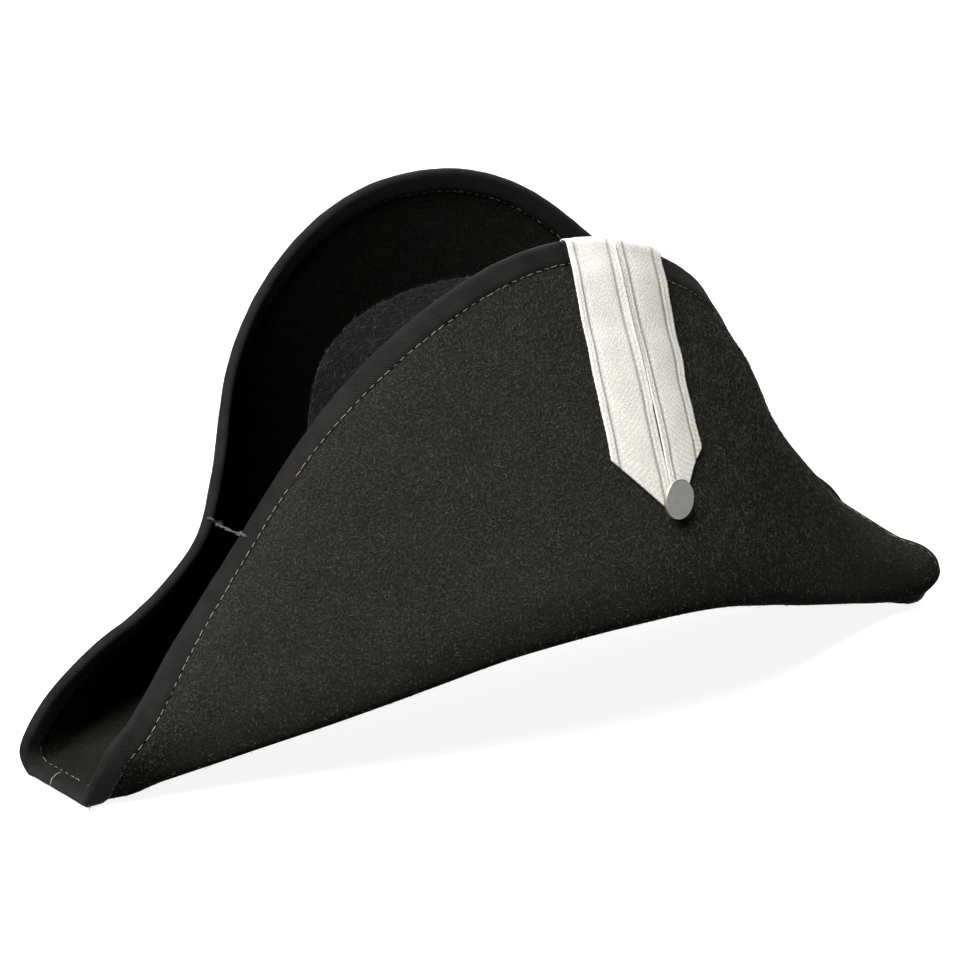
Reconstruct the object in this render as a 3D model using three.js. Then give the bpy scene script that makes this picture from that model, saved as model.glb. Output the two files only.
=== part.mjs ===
// A felt bicorne: a round crown inside a brim that is turned up at the front and the back, a tape bound
// over the brim's edge, a thread at each side that ties the two flaps together, and a folded braid strap
// with a metal button on the front flap. Millimetres, +Z up. X runs from tip to tip, -Y is the front.
// The origin is on the surface that the tips rest on, under the middle of the hat.

import * as THREE from "three";

// ---- Driving sizes ----
const FELT = 2.4; // wall of the brim and of the crown
const TAPE = 1; // wall of the binding
const TAPE_WIDTH = 11; // from the finished edge to the tape's own edge, on both faces
const GAP = 0.3; // clearance between pieces that touch
const FOLD_RADIUS = 9; // rounding where the floor of the brim turns up into a flap
const CURL_REACH = 22; // how far from its edge a flap starts to bend back
const OPENING = { side: 85, depth: 97.6 }; // half-axes of the head opening

const HALF_FELT = FELT / 2;
const TAPE_INSIDE = HALF_FELT + GAP;
const TAPE_OUTSIDE = TAPE_INSIDE + TAPE;
const TAPE_REACH = TAPE_WIDTH - TAPE_OUTSIDE; // from the felt's own edge to the tape's edge
const LEVEL = TAPE_OUTSIDE; // middle of the felt at a tip, where the tape lies flat on the ground

// The fold between floor and flap at the middle of the felt, as far behind the middle as in front of it,
// from the middle of the hat to the corner of a tip. The whole floor is as high as its fold.
const FOLD = [
  { x: 0, y: 107, z: 57.5 },
  { x: 30, y: 105, z: 56.5 },
  { x: 60, y: 99.5, z: 52.5 },
  { x: 90, y: 89.5, z: 44.5 },
  { x: 115, y: 78.5, z: 36.5 },
  { x: 135, y: 69.5, z: 30 },
  { x: 150, y: 62.5, z: 25.5 },
  { x: 165, y: 55.5, z: 21 },
  { x: 186, y: 46, z: 14.5 },
  { x: 205, y: 37, z: 9 },
  { x: 220, y: 29.5, z: 4.5 },
  { x: 228, y: 25.5, z: LEVEL },
  { x: 237, y: 23, z: LEVEL },
];

// The felt's own edge, from the middle of the hat round to the end of a tip: the front on its right and on
// its left, and the back, which is alike on both sides. The curl is how far the flap has bent back where
// it meets its edge, in degrees.
const FRONT_RIGHT = [
  { x: 0, y: -45.5, z: 218.5, curl: 0 },
  { x: 30, y: -44.5, z: 214.5, curl: 0 },
  { x: 58.5, y: -41, z: 202, curl: 0 },
  { x: 87.5, y: -32, z: 183, curl: 12 },
  { x: 111.5, y: -18.5, z: 154, curl: 36 },
  { x: 130.5, y: -6.5, z: 125, curl: 40 },
  { x: 148.5, y: -0.5, z: 102, curl: 40 },
  { x: 167.5, y: 1.5, z: 82, curl: 38 },
  { x: 188.5, y: -1, z: 59, curl: 38 },
  { x: 206, y: -10.5, z: 44.5, curl: 44 },
  { x: 220, y: -21, z: 33.5, curl: 56 },
  { x: 231.5, y: -28.5, z: 28, curl: 58 },
  { x: 237.5, y: -31, z: 20, curl: 46 },
  { x: 235, y: -27.5, z: 10.5, curl: 22 },
  { x: 233.5, y: -23, z: LEVEL, curl: 0 },
];
const FRONT_LEFT = [
  { x: 0, y: -45.5, z: 218.5, curl: 0 },
  { x: 30, y: -44.5, z: 214.5, curl: 0 },
  { x: 60, y: -41, z: 202, curl: 0 },
  { x: 90, y: -34, z: 180.5, curl: 12 },
  { x: 115, y: -26, z: 154, curl: 24 },
  { x: 135, y: -19, z: 125, curl: 30 },
  { x: 150, y: -15, z: 102, curl: 30 },
  { x: 165, y: -13, z: 82, curl: 28 },
  { x: 186, y: -15, z: 59, curl: 24 },
  { x: 205, y: -22.5, z: 42.5, curl: 20 },
  { x: 219.5, y: -30, z: 33.5, curl: 14 },
  { x: 229.5, y: -33, z: 28, curl: 8 },
  { x: 234, y: -32, z: 20, curl: 4 },
  { x: 236.5, y: -27.5, z: 10.5, curl: 0 },
  { x: 237.5, y: -23, z: LEVEL, curl: 0 },
];
const BACK = [
  { x: 0, y: 65.5, z: 228.5, curl: 0 },
  { x: 30, y: 65, z: 225, curl: 0 },
  { x: 60, y: 63, z: 212.5, curl: 0 },
  { x: 90, y: 58, z: 189, curl: 0 },
  { x: 115, y: 46, z: 160, curl: 0 },
  { x: 133.5, y: 29.5, z: 121.5, curl: 0 },
  { x: 148.5, y: 20, z: 95.5, curl: 0 },
  { x: 165, y: 16.5, z: 80.5, curl: 0 },
  { x: 186, y: 15.5, z: 66, curl: 0 },
  { x: 205, y: 17.5, z: 55, curl: 0 },
  { x: 218, y: 21, z: 43.5, curl: 0 },
  { x: 227.5, y: 25, z: 31.5, curl: 0 },
  { x: 234.5, y: 27.5, z: 19.5, curl: 0 },
  { x: 238, y: 28.5, z: 9.5, curl: 0 },
  { x: 237, y: 24, z: LEVEL, curl: 0 },
];

// The section of the brim at each row of the edge tables: where it runs down to the fold, and into how
// many steps the brim is cut up to the next row.
const SECTIONS = [
  { foldX: 0, steps: 2 },
  { foldX: 30, steps: 2 },
  { foldX: 59, steps: 2 },
  { foldX: 86, steps: 2 },
  { foldX: 108, steps: 2 },
  { foldX: 126, steps: 1 },
  { foldX: 140, steps: 1 },
  { foldX: 154, steps: 1 },
  { foldX: 173, steps: 1 },
  { foldX: 188, steps: 1 },
  { foldX: 200, steps: 2 },
  { foldX: 207, steps: 2 },
  { foldX: 211, steps: 2 },
  { foldX: 215, steps: 1 },
  { foldX: 218, steps: 1 },
];
const TIP_END = 237; // felt's own edge across the end of a tip

// Rings of the crown, from the opening upwards: height above the front of the opening, and half-sizes.
const CROWN = [
  { height: 0, side: 84, front: 96.5, back: 96.5 },
  { height: 18, side: 86, front: 92, back: 94.5 },
  { height: 45, side: 87, front: 84, back: 90 },
  { height: 74, side: 87.5, front: 73, back: 85 },
  { height: 95, side: 84, front: 65, back: 79 },
  { height: 113, side: 72, front: 54, back: 67 },
  { height: 125, side: 51, front: 39, back: 48 },
  { height: 131.5, side: 26, front: 20, back: 25 },
  { height: 133, side: 0, front: 0, back: 0 },
];
const CROWN_LEVEL = 74; // from this height on the rings are level, and below it they follow the opening

// The strap: two runs of one braid, side by side over the front flap and mitred into a point.
const BRAID = { wall: 1, left: 0.8, middle: 31.5, right: 56.5, pointZ: 97.5, tuck: 14 };
const SLIT = { width: 1.4, openZ: 118, closedZ: 150 }; // half-gap beside the shank, closing upwards
const BUTTON = { x: 31, z: 106, radius: 9.4, wall: 2.4, bevel: 0.5, standOff: 3.4, tilt: 14, shank: 1 };
const THREAD = { frontRow: 5.9, backRow: 5.75, radius: 0.7, below: 2 }; // between rows of the edge tables

// ---- Resolution ----
const FLOOR_STEPS = 3;
const FOLD_STEPS = 4;
const FLAP_STEPS = 4;
const TAPE_STEPS = 2;
const RIM_STEPS = 4; // round the edge, inside the binding
const CROWN_STATIONS = 40;
const BRAID_COLUMNS = 4;
const BRAID_ROWS = 6; // down the outside of the flap, below the binding

// ---- Shared geometry ----
const { lerp, smoothstep, degToRad } = THREE.MathUtils;

// A point set off from another along a unit direction.
const offset = (point, direction, distance) => point.clone().addScaledVector(direction, distance);

// A solid between two like grids of points, grid[i][j]. It closes on itself in i if closed is true.
function shellSolid(outer, inner, closed) {
  const positions = [];
  const triangle = (a, b, c) => {
    if (a.equals(b) || b.equals(c) || c.equals(a)) return;
    for (const corner of [a, b, c]) positions.push(corner.x, corner.y, corner.z);
  };
  // Cut along the shorter diagonal, so that walls that lie on each other are cut alike.
  const quad = (a, b, c, d) => {
    const turned = a.distanceTo(c) > b.distanceTo(d);
    const [p, q, r, s] = turned ? [b, c, d, a] : [a, b, c, d];
    triangle(p, q, r);
    triangle(p, r, s);
  };
  const last = outer[0].length - 1;
  const end = outer.length - 1;
  for (let i = 0; i < (closed ? end + 1 : end); i++) {
    const next = (i + 1) % outer.length;
    for (let j = 0; j < last; j++) {
      quad(outer[i][j], outer[next][j], outer[next][j + 1], outer[i][j + 1]);
      quad(inner[i][j], inner[i][j + 1], inner[next][j + 1], inner[next][j]);
    }
    quad(inner[i][0], inner[next][0], outer[next][0], outer[i][0]);
    quad(outer[i][last], outer[next][last], inner[next][last], inner[i][last]);
  }
  for (let j = 0; j < last && !closed; j++) {
    quad(outer[0][j], outer[0][j + 1], inner[0][j + 1], inner[0][j]);
    quad(inner[end][j], inner[end][j + 1], outer[end][j + 1], outer[end][j]);
  }
  const geometry = new THREE.BufferGeometry();
  geometry.setAttribute("position", new THREE.Float32BufferAttribute(positions, 3));
  geometry.computeVertexNormals();
  return geometry;
}

// The direction in which each point of a grid moves when the surface is thickened. It is longer than one
// at a crease, so that walls keep their thickness there. The grid closes on itself in i.
function gridNormals(grid) {
  const last = grid[0].length - 1;
  const faces = grid.map((row, i) => {
    const next = grid[(i + 1) % grid.length];
    return row.slice(0, last).map((a, j) => {
      const rising = next[j + 1].clone().sub(a);
      return next[j].clone().sub(row[j + 1]).cross(rising).normalize();
    });
  });
  return grid.map((row, i) => {
    const before = faces[(i + grid.length - 1) % grid.length];
    return row.map((_, j) => {
      const [below, above] = [Math.max(j - 1, 0), Math.min(j, last - 1)];
      const around = [before[below], before[above], faces[i][below], faces[i][above]];
      const sum = around.reduce((total, normal) => total.add(normal), new THREE.Vector3());
      const mean = sum.divideScalar(around.length);
      return mean.divideScalar(mean.lengthSq());
    });
  });
}

// ---- The brim's middle surface ----
const foldPoints = FOLD.map(({ x, y, z }) => new THREE.Vector3(x, y, z));
const mirrorX = new THREE.Vector3(-1, 1, 1);
const otherFold = foldPoints.slice(1).map((point) => point.clone().multiply(mirrorX));
const foldLine = new THREE.CatmullRomCurve3([...otherFold.reverse(), ...foldPoints]);

// The parameter in a range at which a curve that runs along X passes x.
function passes(curve, x, low, high) {
  for (let step = 0; step < 30; step++) {
    const middle = (low + high) / 2;
    if (curve.getPoint(middle).x < x) low = middle;
    else high = middle;
  }
  return low;
}

const foldPoint = (x) => foldLine.getPoint(passes(foldLine, Math.abs(x), 0.5, 1));
const floorHeight = (x) => Math.max(LEVEL, foldPoint(x).z);

// Edge and fold once round the brim, starting at the middle of the front and turning to the right.
function brimKeys() {
  const quarter = (table, side) =>
    table.map(({ x, y, z, curl }, k) => {
      const { foldX, steps } = SECTIONS[k];
      const fold = foldPoint(foldX);
      fold.set(side * fold.x, table === BACK ? fold.y : -fold.y, fold.z);
      return { edge: new THREE.Vector3(side * x, y, z), fold, curl, steps };
    });
  const inner = SECTIONS.at(-1).foldX;
  const tip = (side) => ({
    edge: new THREE.Vector3(side * TIP_END, 0, LEVEL),
    fold: new THREE.Vector3(side * inner, 0, floorHeight(inner)),
    curl: 0,
    steps: 1,
  });
  const right = [...quarter(FRONT_RIGHT, 1), tip(1), ...quarter(BACK, 1).reverse()];
  const left = [...quarter(BACK, -1).slice(1), tip(-1), ...quarter(FRONT_LEFT, -1).slice(1).reverse()];
  return [...right, ...left];
}

const keys = brimKeys();
const edgeCurve = new THREE.CatmullRomCurve3(keys.map((key) => key.edge), true);
const foldCurve = new THREE.CatmullRomCurve3(keys.map((key) => key.fold), true);

// The stations round the brim. Between two rows, the one nearer the middle of the hat says how many.
function stationList() {
  return keys.flatMap((key, k) => {
    const next = keys[(k + 1) % keys.length];
    const steps = Math.max(key.steps, next.steps);
    return Array.from({ length: steps }, (_, s) => (k + s / steps) / keys.length);
  });
}

// The place on the front half of the loop where the edge is at x.
const stationAt = (x) => passes(edgeCurve, x, 0, (SECTIONS.length - 3) / keys.length);

// The point of the head opening that lies towards a point of the fold.
function openingPoint(fold) {
  const angle = Math.atan2(fold.y / OPENING.depth, fold.x / OPENING.side);
  const x = OPENING.side * Math.cos(angle);
  return new THREE.Vector3(x, OPENING.depth * Math.sin(angle), floorHeight(x));
}

// How far the flap has bent back at one station, as an angle.
function curlAt(t) {
  const place = t * keys.length;
  const [key, next] = [0, 1].map((k) => keys[(Math.floor(place) + k) % keys.length]);
  return degToRad(lerp(key.curl, next.curl, place - Math.floor(place)));
}

// The edge at one station, the flap's plane normal, and there at the edge the normal of the bent-back felt
// and the way in across the tape. The tape is level where it lies on the ground.
function edgeFrame(t) {
  const edge = edgeCurve.getPoint(t);
  const fold = foldCurve.getPoint(t);
  edge.z = Math.max(edge.z, LEVEL);
  const along = edgeCurve.getTangent(t);
  const flat = along.clone().cross(edge.clone().sub(fold)).normalize();
  const curl = curlAt(t);
  const normal = flat.clone().applyAxisAngle(along, -curl);
  const inward = along.cross(normal).normalize();
  if (edge.z < LEVEL + 0.01) inward.setZ(0).normalize();
  return { edge, fold, flat, curl, normal, inward };
}

const evenly = (steps, at) => Array.from({ length: steps }, (_, j) => at(j / steps));

// One row of the middle surface, from the head opening over the floor, round the fold, up the flap, and
// square across the tape to the felt's edge.
function brimRow(t) {
  const { edge, fold, flat, curl, inward } = edgeFrame(t);
  const opening = openingPoint(fold);
  const tapeEdge = offset(edge, inward, TAPE_REACH);
  const radius = Math.min(FOLD_RADIUS, fold.distanceTo(tapeEdge) / 2);
  const foldTop = offset(fold, tapeEdge.clone().sub(fold).normalize(), radius);
  const foldEnd = offset(fold, opening.clone().sub(fold).normalize(), radius);
  const bend = new THREE.QuadraticBezierCurve3(foldEnd, fold, foldTop);
  const floor = (share) => {
    const point = opening.clone().lerp(foldEnd, share);
    point.z = floorHeight(point.x);
    return point;
  };
  foldEnd.z = floorHeight(foldEnd.x);
  const third = tapeEdge.clone().sub(foldTop).divideScalar(3);
  const bulge = Math.min(third.length(), CURL_REACH);
  const lower = foldTop.clone().add(third);
  const upper = offset(tapeEdge, third.clone().normalize(), -Math.cos(curl) * bulge);
  upper.addScaledVector(flat, Math.sin(curl) * bulge);
  const flap = new THREE.CubicBezierCurve3(foldTop, lower, upper, tapeEdge);
  return [
    ...evenly(FLOOR_STEPS, floor),
    ...evenly(FOLD_STEPS, (share) => bend.getPoint(share)),
    ...evenly(FLAP_STEPS, (share) => flap.getPoint(share)),
    ...evenly(TAPE_STEPS, (share) => tapeEdge.clone().lerp(edge, share)),
    edge,
  ];
}

const brimStations = stationList();
const brimGrid = brimStations.map(brimRow);
const brimNormals = gridNormals(brimGrid);

// ---- Pieces ----

function brimGeometry() {
  const face = (side) =>
    brimGrid.map((row, i) => row.map((p, j) => offset(p, brimNormals[i][j], side * HALF_FELT)));
  return shellSolid(face(1), face(-1), true);
}

// The tape's section runs up the outside, round the felt's edge, and down the inside.
function bindingGeometry() {
  const wrap = (distance) =>
    brimGrid.map((row, i) => {
      const normals = brimNormals[i];
      const end = row.length - 1;
      const { inward } = edgeFrame(brimStations[i]);
      const flank = (side) =>
        row.map((p, j) => offset(p, normals[j], side * distance)).slice(end - TAPE_STEPS, end);
      const rim = Array.from({ length: RIM_STEPS + 1 }, (_, k) => {
        const angle = (Math.PI * k) / RIM_STEPS;
        const point = offset(row[end], normals[end], distance * Math.cos(angle));
        return point.addScaledVector(inward, -distance * Math.sin(angle));
      });
      return [...flank(1), ...rim, ...flank(-1).reverse()];
    });
  return shellSolid(wrap(TAPE_OUTSIDE), wrap(TAPE_INSIDE), true);
}

// The crown stands in the head opening, so its lower edge follows the saddle of the brim.
function crownGeometry() {
  const frontHeight = FOLD[0].z;
  const topHeight = CROWN.at(-1).height;
  const ringPoint = (ring, angle, wall) => {
    const depth = Math.sin(angle) < 0 ? ring.front : ring.back;
    const hollow = Math.min(wall, ring.side);
    const drop = frontHeight - floorHeight(CROWN[0].side * Math.cos(angle));
    const sagged = drop * Math.max(0, 1 - ring.height / CROWN_LEVEL);
    const roof = wall * (ring.height / topHeight) ** 3;
    return new THREE.Vector3(
      (ring.side - hollow) * Math.cos(angle),
      (depth - Math.min(hollow, depth)) * Math.sin(angle),
      frontHeight - HALF_FELT + ring.height - sagged - roof,
    );
  };
  const face = (wall) =>
    Array.from({ length: CROWN_STATIONS }, (_, i) =>
      CROWN.map((ring) => ringPoint(ring, (2 * Math.PI * i) / CROWN_STATIONS, wall)),
    );
  return shellSolid(face(0), face(FELT), true);
}

// A point of the front flap's middle surface, down from the felt's edge, with the directions there.
function flapPoint(x, down) {
  const { edge, inward } = edgeFrame(stationAt(x));
  const fold = foldPoint(x);
  fold.y *= -1;
  const up = edge.clone().sub(fold).normalize();
  const normal = edgeCurve.getTangent(stationAt(x)).cross(up).normalize();
  return { point: offset(edge, up, -down), up, normal, inward };
}

// How far down the front flap a height is reached.
function downTo(x, z) {
  const { point, up } = flapPoint(x, 0);
  return (point.z - z) / up.z;
}

// One run of the braid: a short tuck behind the flap, over the edge, and down to its mitre.
function braidGeometry(outerX, side) {
  const overTape = TAPE_REACH + 1.5;
  const offTape = TAPE_REACH + 8;
  const lift = (down) => {
    const felt = smoothstep(down, overTape, offTape);
    return lerp(TAPE_OUTSIDE, HALF_FELT, felt) + 1.5 * GAP;
  };
  const column = (share, extra) => {
    const x = lerp(outerX, BRAID.middle + side * GAP, share);
    const length = downTo(x, BRAID.pointZ + Math.abs(x - BRAID.middle));
    const outside = Array.from({ length: BRAID_ROWS }, (_, j) => lerp(offTape, length, (j + 1) / BRAID_ROWS));
    const at = (down) => {
      const { z } = flapPoint(x, down).point;
      const open = SLIT.width * (1 - smoothstep(z, SLIT.openZ, SLIT.closedZ));
      return flapPoint(x + side * share * open, down);
    };
    const tucked = [BRAID.tuck, BRAID.tuck / 2].map((down) => {
      const { point, normal } = flapPoint(x, down);
      return offset(point, normal, -lift(0) - extra);
    });
    const rim = flapPoint(x, 0);
    const over = Array.from({ length: RIM_STEPS + 1 }, (_, k) => {
      const angle = Math.PI * (1 - k / RIM_STEPS);
      const point = offset(rim.point, rim.normal, (lift(0) + extra) * Math.cos(angle));
      return point.addScaledVector(rim.inward, -(lift(0) + extra) * Math.sin(angle));
    });
    const laid = [overTape, offTape, ...outside].map((down) => {
      const { point, normal } = at(down);
      return offset(point, normal, lift(down) + extra);
    });
    return [...tucked, ...over, ...laid];
  };
  const face = (extra) => {
    const columns = Array.from({ length: BRAID_COLUMNS + 1 }, (_, i) => column(i / BRAID_COLUMNS, extra));
    return side > 0 ? columns : columns.reverse();
  };
  return shellSolid(face(BRAID.wall), face(0), false);
}

// A flat metal button with a softened edge, and the shank that holds it off the flap.
function buttonGeometry() {
  const { radius, wall, bevel, standOff, shank } = BUTTON;
  const profile = [
    new THREE.Vector2(0, 0),
    new THREE.Vector2(shank, 0),
    new THREE.Vector2(shank, standOff),
    new THREE.Vector2(radius - bevel, standOff),
    new THREE.Vector2(radius, standOff + bevel),
    new THREE.Vector2(radius, standOff + wall - bevel),
    new THREE.Vector2(radius - bevel, standOff + wall),
    new THREE.Vector2(0, standOff + wall),
  ];
  return new THREE.LatheGeometry(profile, 24);
}

// The shank stands on the felt between the two runs of braid, and droops a little.
function placeButton(mesh) {
  const { point, normal } = flapPoint(BUTTON.x, downTo(BUTTON.x, BUTTON.z));
  const droop = degToRad(BUTTON.tilt);
  const axis = normal.clone().applyAxisAngle(new THREE.Vector3(1, 0, 0), droop);
  const seat = HALF_FELT + GAP + BUTTON.shank * Math.sin(droop);
  mesh.position.copy(offset(point, normal, seat));
  mesh.quaternion.setFromUnitVectors(new THREE.Vector3(0, 1, 0), axis);
}

// The thread that ties the front flap to the back one at one side, from binding to binding.
function threadGeometry(side) {
  const ahead = (side * THREAD.frontRow) / keys.length;
  const behind = (side * THREAD.backRow) / keys.length;
  const frames = [edgeFrame((1 + ahead) % 1), edgeFrame(0.5 - behind)];
  const seats = frames.map(({ edge, inward }) => offset(edge, inward, THREAD.below));
  const run = seats[1].clone().sub(seats[0]).normalize();
  const [start, end] = frames.map(({ normal }, k) => {
    const facing = run.dot(normal);
    const clear = TAPE_OUTSIDE + GAP + THREAD.radius * Math.sqrt(1 - facing * facing);
    return offset(seats[k], normal, -clear);
  });
  const middle = start.clone().lerp(end, 0.5);
  middle.z -= THREAD.radius;
  const outline = new THREE.Shape();
  outline.absarc(0, 0, THREAD.radius, 0, 2 * Math.PI);
  const extrudePath = new THREE.CatmullRomCurve3([start, middle, end]);
  return new THREE.ExtrudeGeometry(outline, { steps: 6, curveSegments: 4, extrudePath });
}

// ---- The hat ----
const felt = new THREE.MeshStandardMaterial({ color: 0x2a2c28, roughness: 0.95, metalness: 0 });
const tape = new THREE.MeshStandardMaterial({ color: 0x32302e, roughness: 0.7, metalness: 0 });
const braid = new THREE.MeshStandardMaterial({ color: 0xebe6de, roughness: 0.6, metalness: 0 });
const metal = new THREE.MeshStandardMaterial({ color: 0x84847f, roughness: 0.4, metalness: 0.9 });
const linen = new THREE.MeshStandardMaterial({ color: 0x6a6a6c, roughness: 0.8, metalness: 0 });

function named(name, geometry, material) {
  const mesh = new THREE.Mesh(geometry, material);
  mesh.name = name;
  return mesh;
}

const button = named("button", buttonGeometry(), metal);
placeButton(button);

const hat = new THREE.Group();
hat.add(
  named("crown", crownGeometry(), felt),
  named("brim", brimGeometry(), felt),
  named("binding", bindingGeometry(), tape),
  named("strap_left", braidGeometry(BRAID.left, -1), braid),
  named("strap_right", braidGeometry(BRAID.right, 1), braid),
  button,
  named("tie_thread_left", threadGeometry(-1), linen),
  named("tie_thread_right", threadGeometry(1), linen),
);

export default hat;
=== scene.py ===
"""The looks of a black felt bicorne hat: felt, bound edge, stitching, braid strap, button and tie threads.

Each part of the hat is a class that builds its own fine mesh on the frame of the CAD model, dresses it in a
finish, and lets it ride on the hat's one body. Tables are in millimetres and meshes in metres. +X runs from
tip to tip, -Y is the front of the hat, and +Z is up.
"""

from __future__ import annotations

import logging
import math
from dataclasses import dataclass, field
from enum import Enum
from functools import cached_property
from typing import NamedTuple

import bpy
import numpy as np
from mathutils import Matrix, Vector

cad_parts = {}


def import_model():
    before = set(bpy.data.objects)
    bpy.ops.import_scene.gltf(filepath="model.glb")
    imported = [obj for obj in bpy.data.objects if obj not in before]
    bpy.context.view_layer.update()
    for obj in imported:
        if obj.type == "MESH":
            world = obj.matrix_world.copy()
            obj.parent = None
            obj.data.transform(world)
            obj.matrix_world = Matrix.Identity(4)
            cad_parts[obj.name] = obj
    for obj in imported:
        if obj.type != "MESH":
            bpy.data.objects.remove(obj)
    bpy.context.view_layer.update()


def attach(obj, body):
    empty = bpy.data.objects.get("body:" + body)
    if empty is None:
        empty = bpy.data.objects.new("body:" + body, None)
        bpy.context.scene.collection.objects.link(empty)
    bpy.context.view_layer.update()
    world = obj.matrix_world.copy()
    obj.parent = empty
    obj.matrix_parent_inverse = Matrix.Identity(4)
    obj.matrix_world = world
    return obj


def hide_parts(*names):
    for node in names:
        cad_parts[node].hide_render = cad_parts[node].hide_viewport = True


LOG = logging.getLogger("bicorne")
MM = 0.001
BODY = "root"

Array = np.ndarray


class Slot(Enum):
    """The record's material slots."""

    FELT = "felt"
    TAPE = "tape"
    BRAID = "braid"
    PEWTER = "pewter"
    THREAD = "thread"


class Side(Enum):
    """The two faces of the brim, as the sign of its normal."""

    OUTSIDE = 1
    INSIDE = -1


# ---- Sizes shared with the CAD model, in millimetres ----
FELT = 2.4  # wall of the brim and of the crown
TAPE = 1.0  # wall of the tape
TAPE_WIDTH = 11.0
GAP = 0.3  # clearance between pieces that touch
FOLD_RADIUS = 9.0
CURL_REACH = 22.0  # how far below the tape a flap starts to bend back
OPENING_SIDE = 85.0  # half-sizes of the head opening
OPENING_DEPTH = 97.6
HALF_FELT = FELT / 2
TAPE_INSIDE = HALF_FELT + GAP
TAPE_OUTSIDE = TAPE_INSIDE + TAPE
TAPE_REACH = TAPE_WIDTH - TAPE_OUTSIDE
LEVEL = TAPE_OUTSIDE  # middle surface of the brim where the tape lies on the ground
LEVEL_BAND = 8.0  # height above LEVEL over which the tape turns from level to its flap's slope
TIP_END = 237.0

# ---- Sizes of the visual model alone, in millimetres ----
JOIN = 2.0  # how far the brim's felt runs into the crown's foot
TAPE_DRAW = 2.2  # width over which the seam draws the tape's edge in
TAPE_EDGE = 0.3  # how far the drawn-in edge lies off the felt
TAPE_SEAT = 0.05  # how far its inner face lies off the felt there
FOLD_SHADE_REACH = 30.0  # painted shade along the fold: this far off the fold the felt has its full colour
INSIDE_SHADE_REACH = 8.0  # painted shade: the inside has the colour of the outside at most this far off the fold, so it is darker all over


class FoldRow(NamedTuple):
    """A point of the fold between the brim's floor and a flap."""

    x: float
    y: float
    z: float


class EdgeRow(NamedTuple):
    """A point of the felt's own edge, and how far the flap has bent back there, in degrees."""

    x: float
    y: float
    z: float
    curl: float


class CrownRing(NamedTuple):
    """One ring of the crown, and its half-sizes."""

    height: float
    side: float
    front: float
    back: float


FOLD = (
    FoldRow(0, 107, 57.5),
    FoldRow(30, 105, 56.5),
    FoldRow(60, 99.5, 52.5),
    FoldRow(90, 89.5, 44.5),
    FoldRow(115, 78.5, 36.5),
    FoldRow(135, 69.5, 30),
    FoldRow(150, 62.5, 25.5),
    FoldRow(165, 55.5, 21),
    FoldRow(186, 46, 14.5),
    FoldRow(205, 37, 9),
    FoldRow(220, 29.5, 4.5),
    FoldRow(228, 25.5, LEVEL),
    FoldRow(237, 23, LEVEL),
)

FRONT_RIGHT = (
    EdgeRow(0, -45.5, 218.5, 0),
    EdgeRow(30, -44.5, 214.5, 0),
    EdgeRow(58.5, -41, 202, 0),
    EdgeRow(87.5, -32, 183, 12),
    EdgeRow(111.5, -18.5, 154, 36),
    EdgeRow(130.5, -6.5, 125, 40),
    EdgeRow(148.5, -0.5, 102, 40),
    EdgeRow(167.5, 1.5, 82, 38),
    EdgeRow(188.5, -1, 59, 38),
    EdgeRow(206, -10.5, 44.5, 44),
    EdgeRow(220, -21, 33.5, 56),
    EdgeRow(231.5, -28.5, 28, 58),
    EdgeRow(237.5, -31, 20, 46),
    EdgeRow(235, -27.5, 10.5, 22),
    EdgeRow(233.5, -23, LEVEL, 0),
)

FRONT_LEFT = (
    EdgeRow(0, -45.5, 218.5, 0),
    EdgeRow(30, -44.5, 214.5, 0),
    EdgeRow(60, -41, 202, 0),
    EdgeRow(90, -34, 180.5, 12),
    EdgeRow(115, -26, 154, 24),
    EdgeRow(135, -19, 125, 30),
    EdgeRow(150, -15, 102, 30),
    EdgeRow(165, -13, 82, 28),
    EdgeRow(186, -15, 59, 24),
    EdgeRow(205, -22.5, 42.5, 20),
    EdgeRow(219.5, -30, 33.5, 14),
    EdgeRow(229.5, -33, 28, 8),
    EdgeRow(234, -32, 20, 4),
    EdgeRow(236.5, -27.5, 10.5, 0),
    EdgeRow(237.5, -23, LEVEL, 0),
)

BACK = (
    EdgeRow(0, 65.5, 228.5, 0),
    EdgeRow(30, 65, 225, 0),
    EdgeRow(60, 63, 212.5, 0),
    EdgeRow(90, 58, 189, 0),
    EdgeRow(115, 46, 160, 0),
    EdgeRow(133.5, 29.5, 121.5, 0),
    EdgeRow(148.5, 20, 95.5, 0),
    EdgeRow(165, 16.5, 80.5, 0),
    EdgeRow(186, 15.5, 66, 0),
    EdgeRow(205, 17.5, 55, 0),
    EdgeRow(218, 21, 43.5, 0),
    EdgeRow(227.5, 25, 31.5, 0),
    EdgeRow(234.5, 27.5, 19.5, 0),
    EdgeRow(238, 28.5, 9.5, 0),
    EdgeRow(237, 24, LEVEL, 0),
)

SECTION_FOLDS = (0, 30, 59, 86, 108, 126, 140, 154, 173, 188, 200, 207, 211, 215, 218)

CROWN = (
    CrownRing(0, 84, 96.5, 96.5),
    CrownRing(18, 86, 92, 94.5),
    CrownRing(45, 87, 84, 90),
    CrownRing(74, 87.5, 73, 85),
    CrownRing(95, 84, 65, 79),
    CrownRing(113, 72, 54, 67),
    CrownRing(125, 51, 39, 48),
    CrownRing(131.5, 26, 20, 25),
    CrownRing(133, 0, 0, 0),
)
CROWN_LEVEL = 74.0


# ---- Curves and surfaces ----
SAMPLES = 6001  # points of the fold's table
MITRE = 0.35  # least squared length of a mean normal, which limits how far a crease stands out


def unit(vectors: Array) -> Array:
    """Returns the vectors along the last axis at length one."""
    return vectors / np.maximum(np.linalg.norm(vectors, axis=-1, keepdims=True), 1e-12)


def smoothstep(x: Array | float, low: float, high: float) -> Array:
    """Returns 0 below low, 1 above high, and an even slope between them."""
    share = np.clip((np.asarray(x, float) - low) / (high - low), 0, 1)
    return share * share * (3 - 2 * share)


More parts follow.
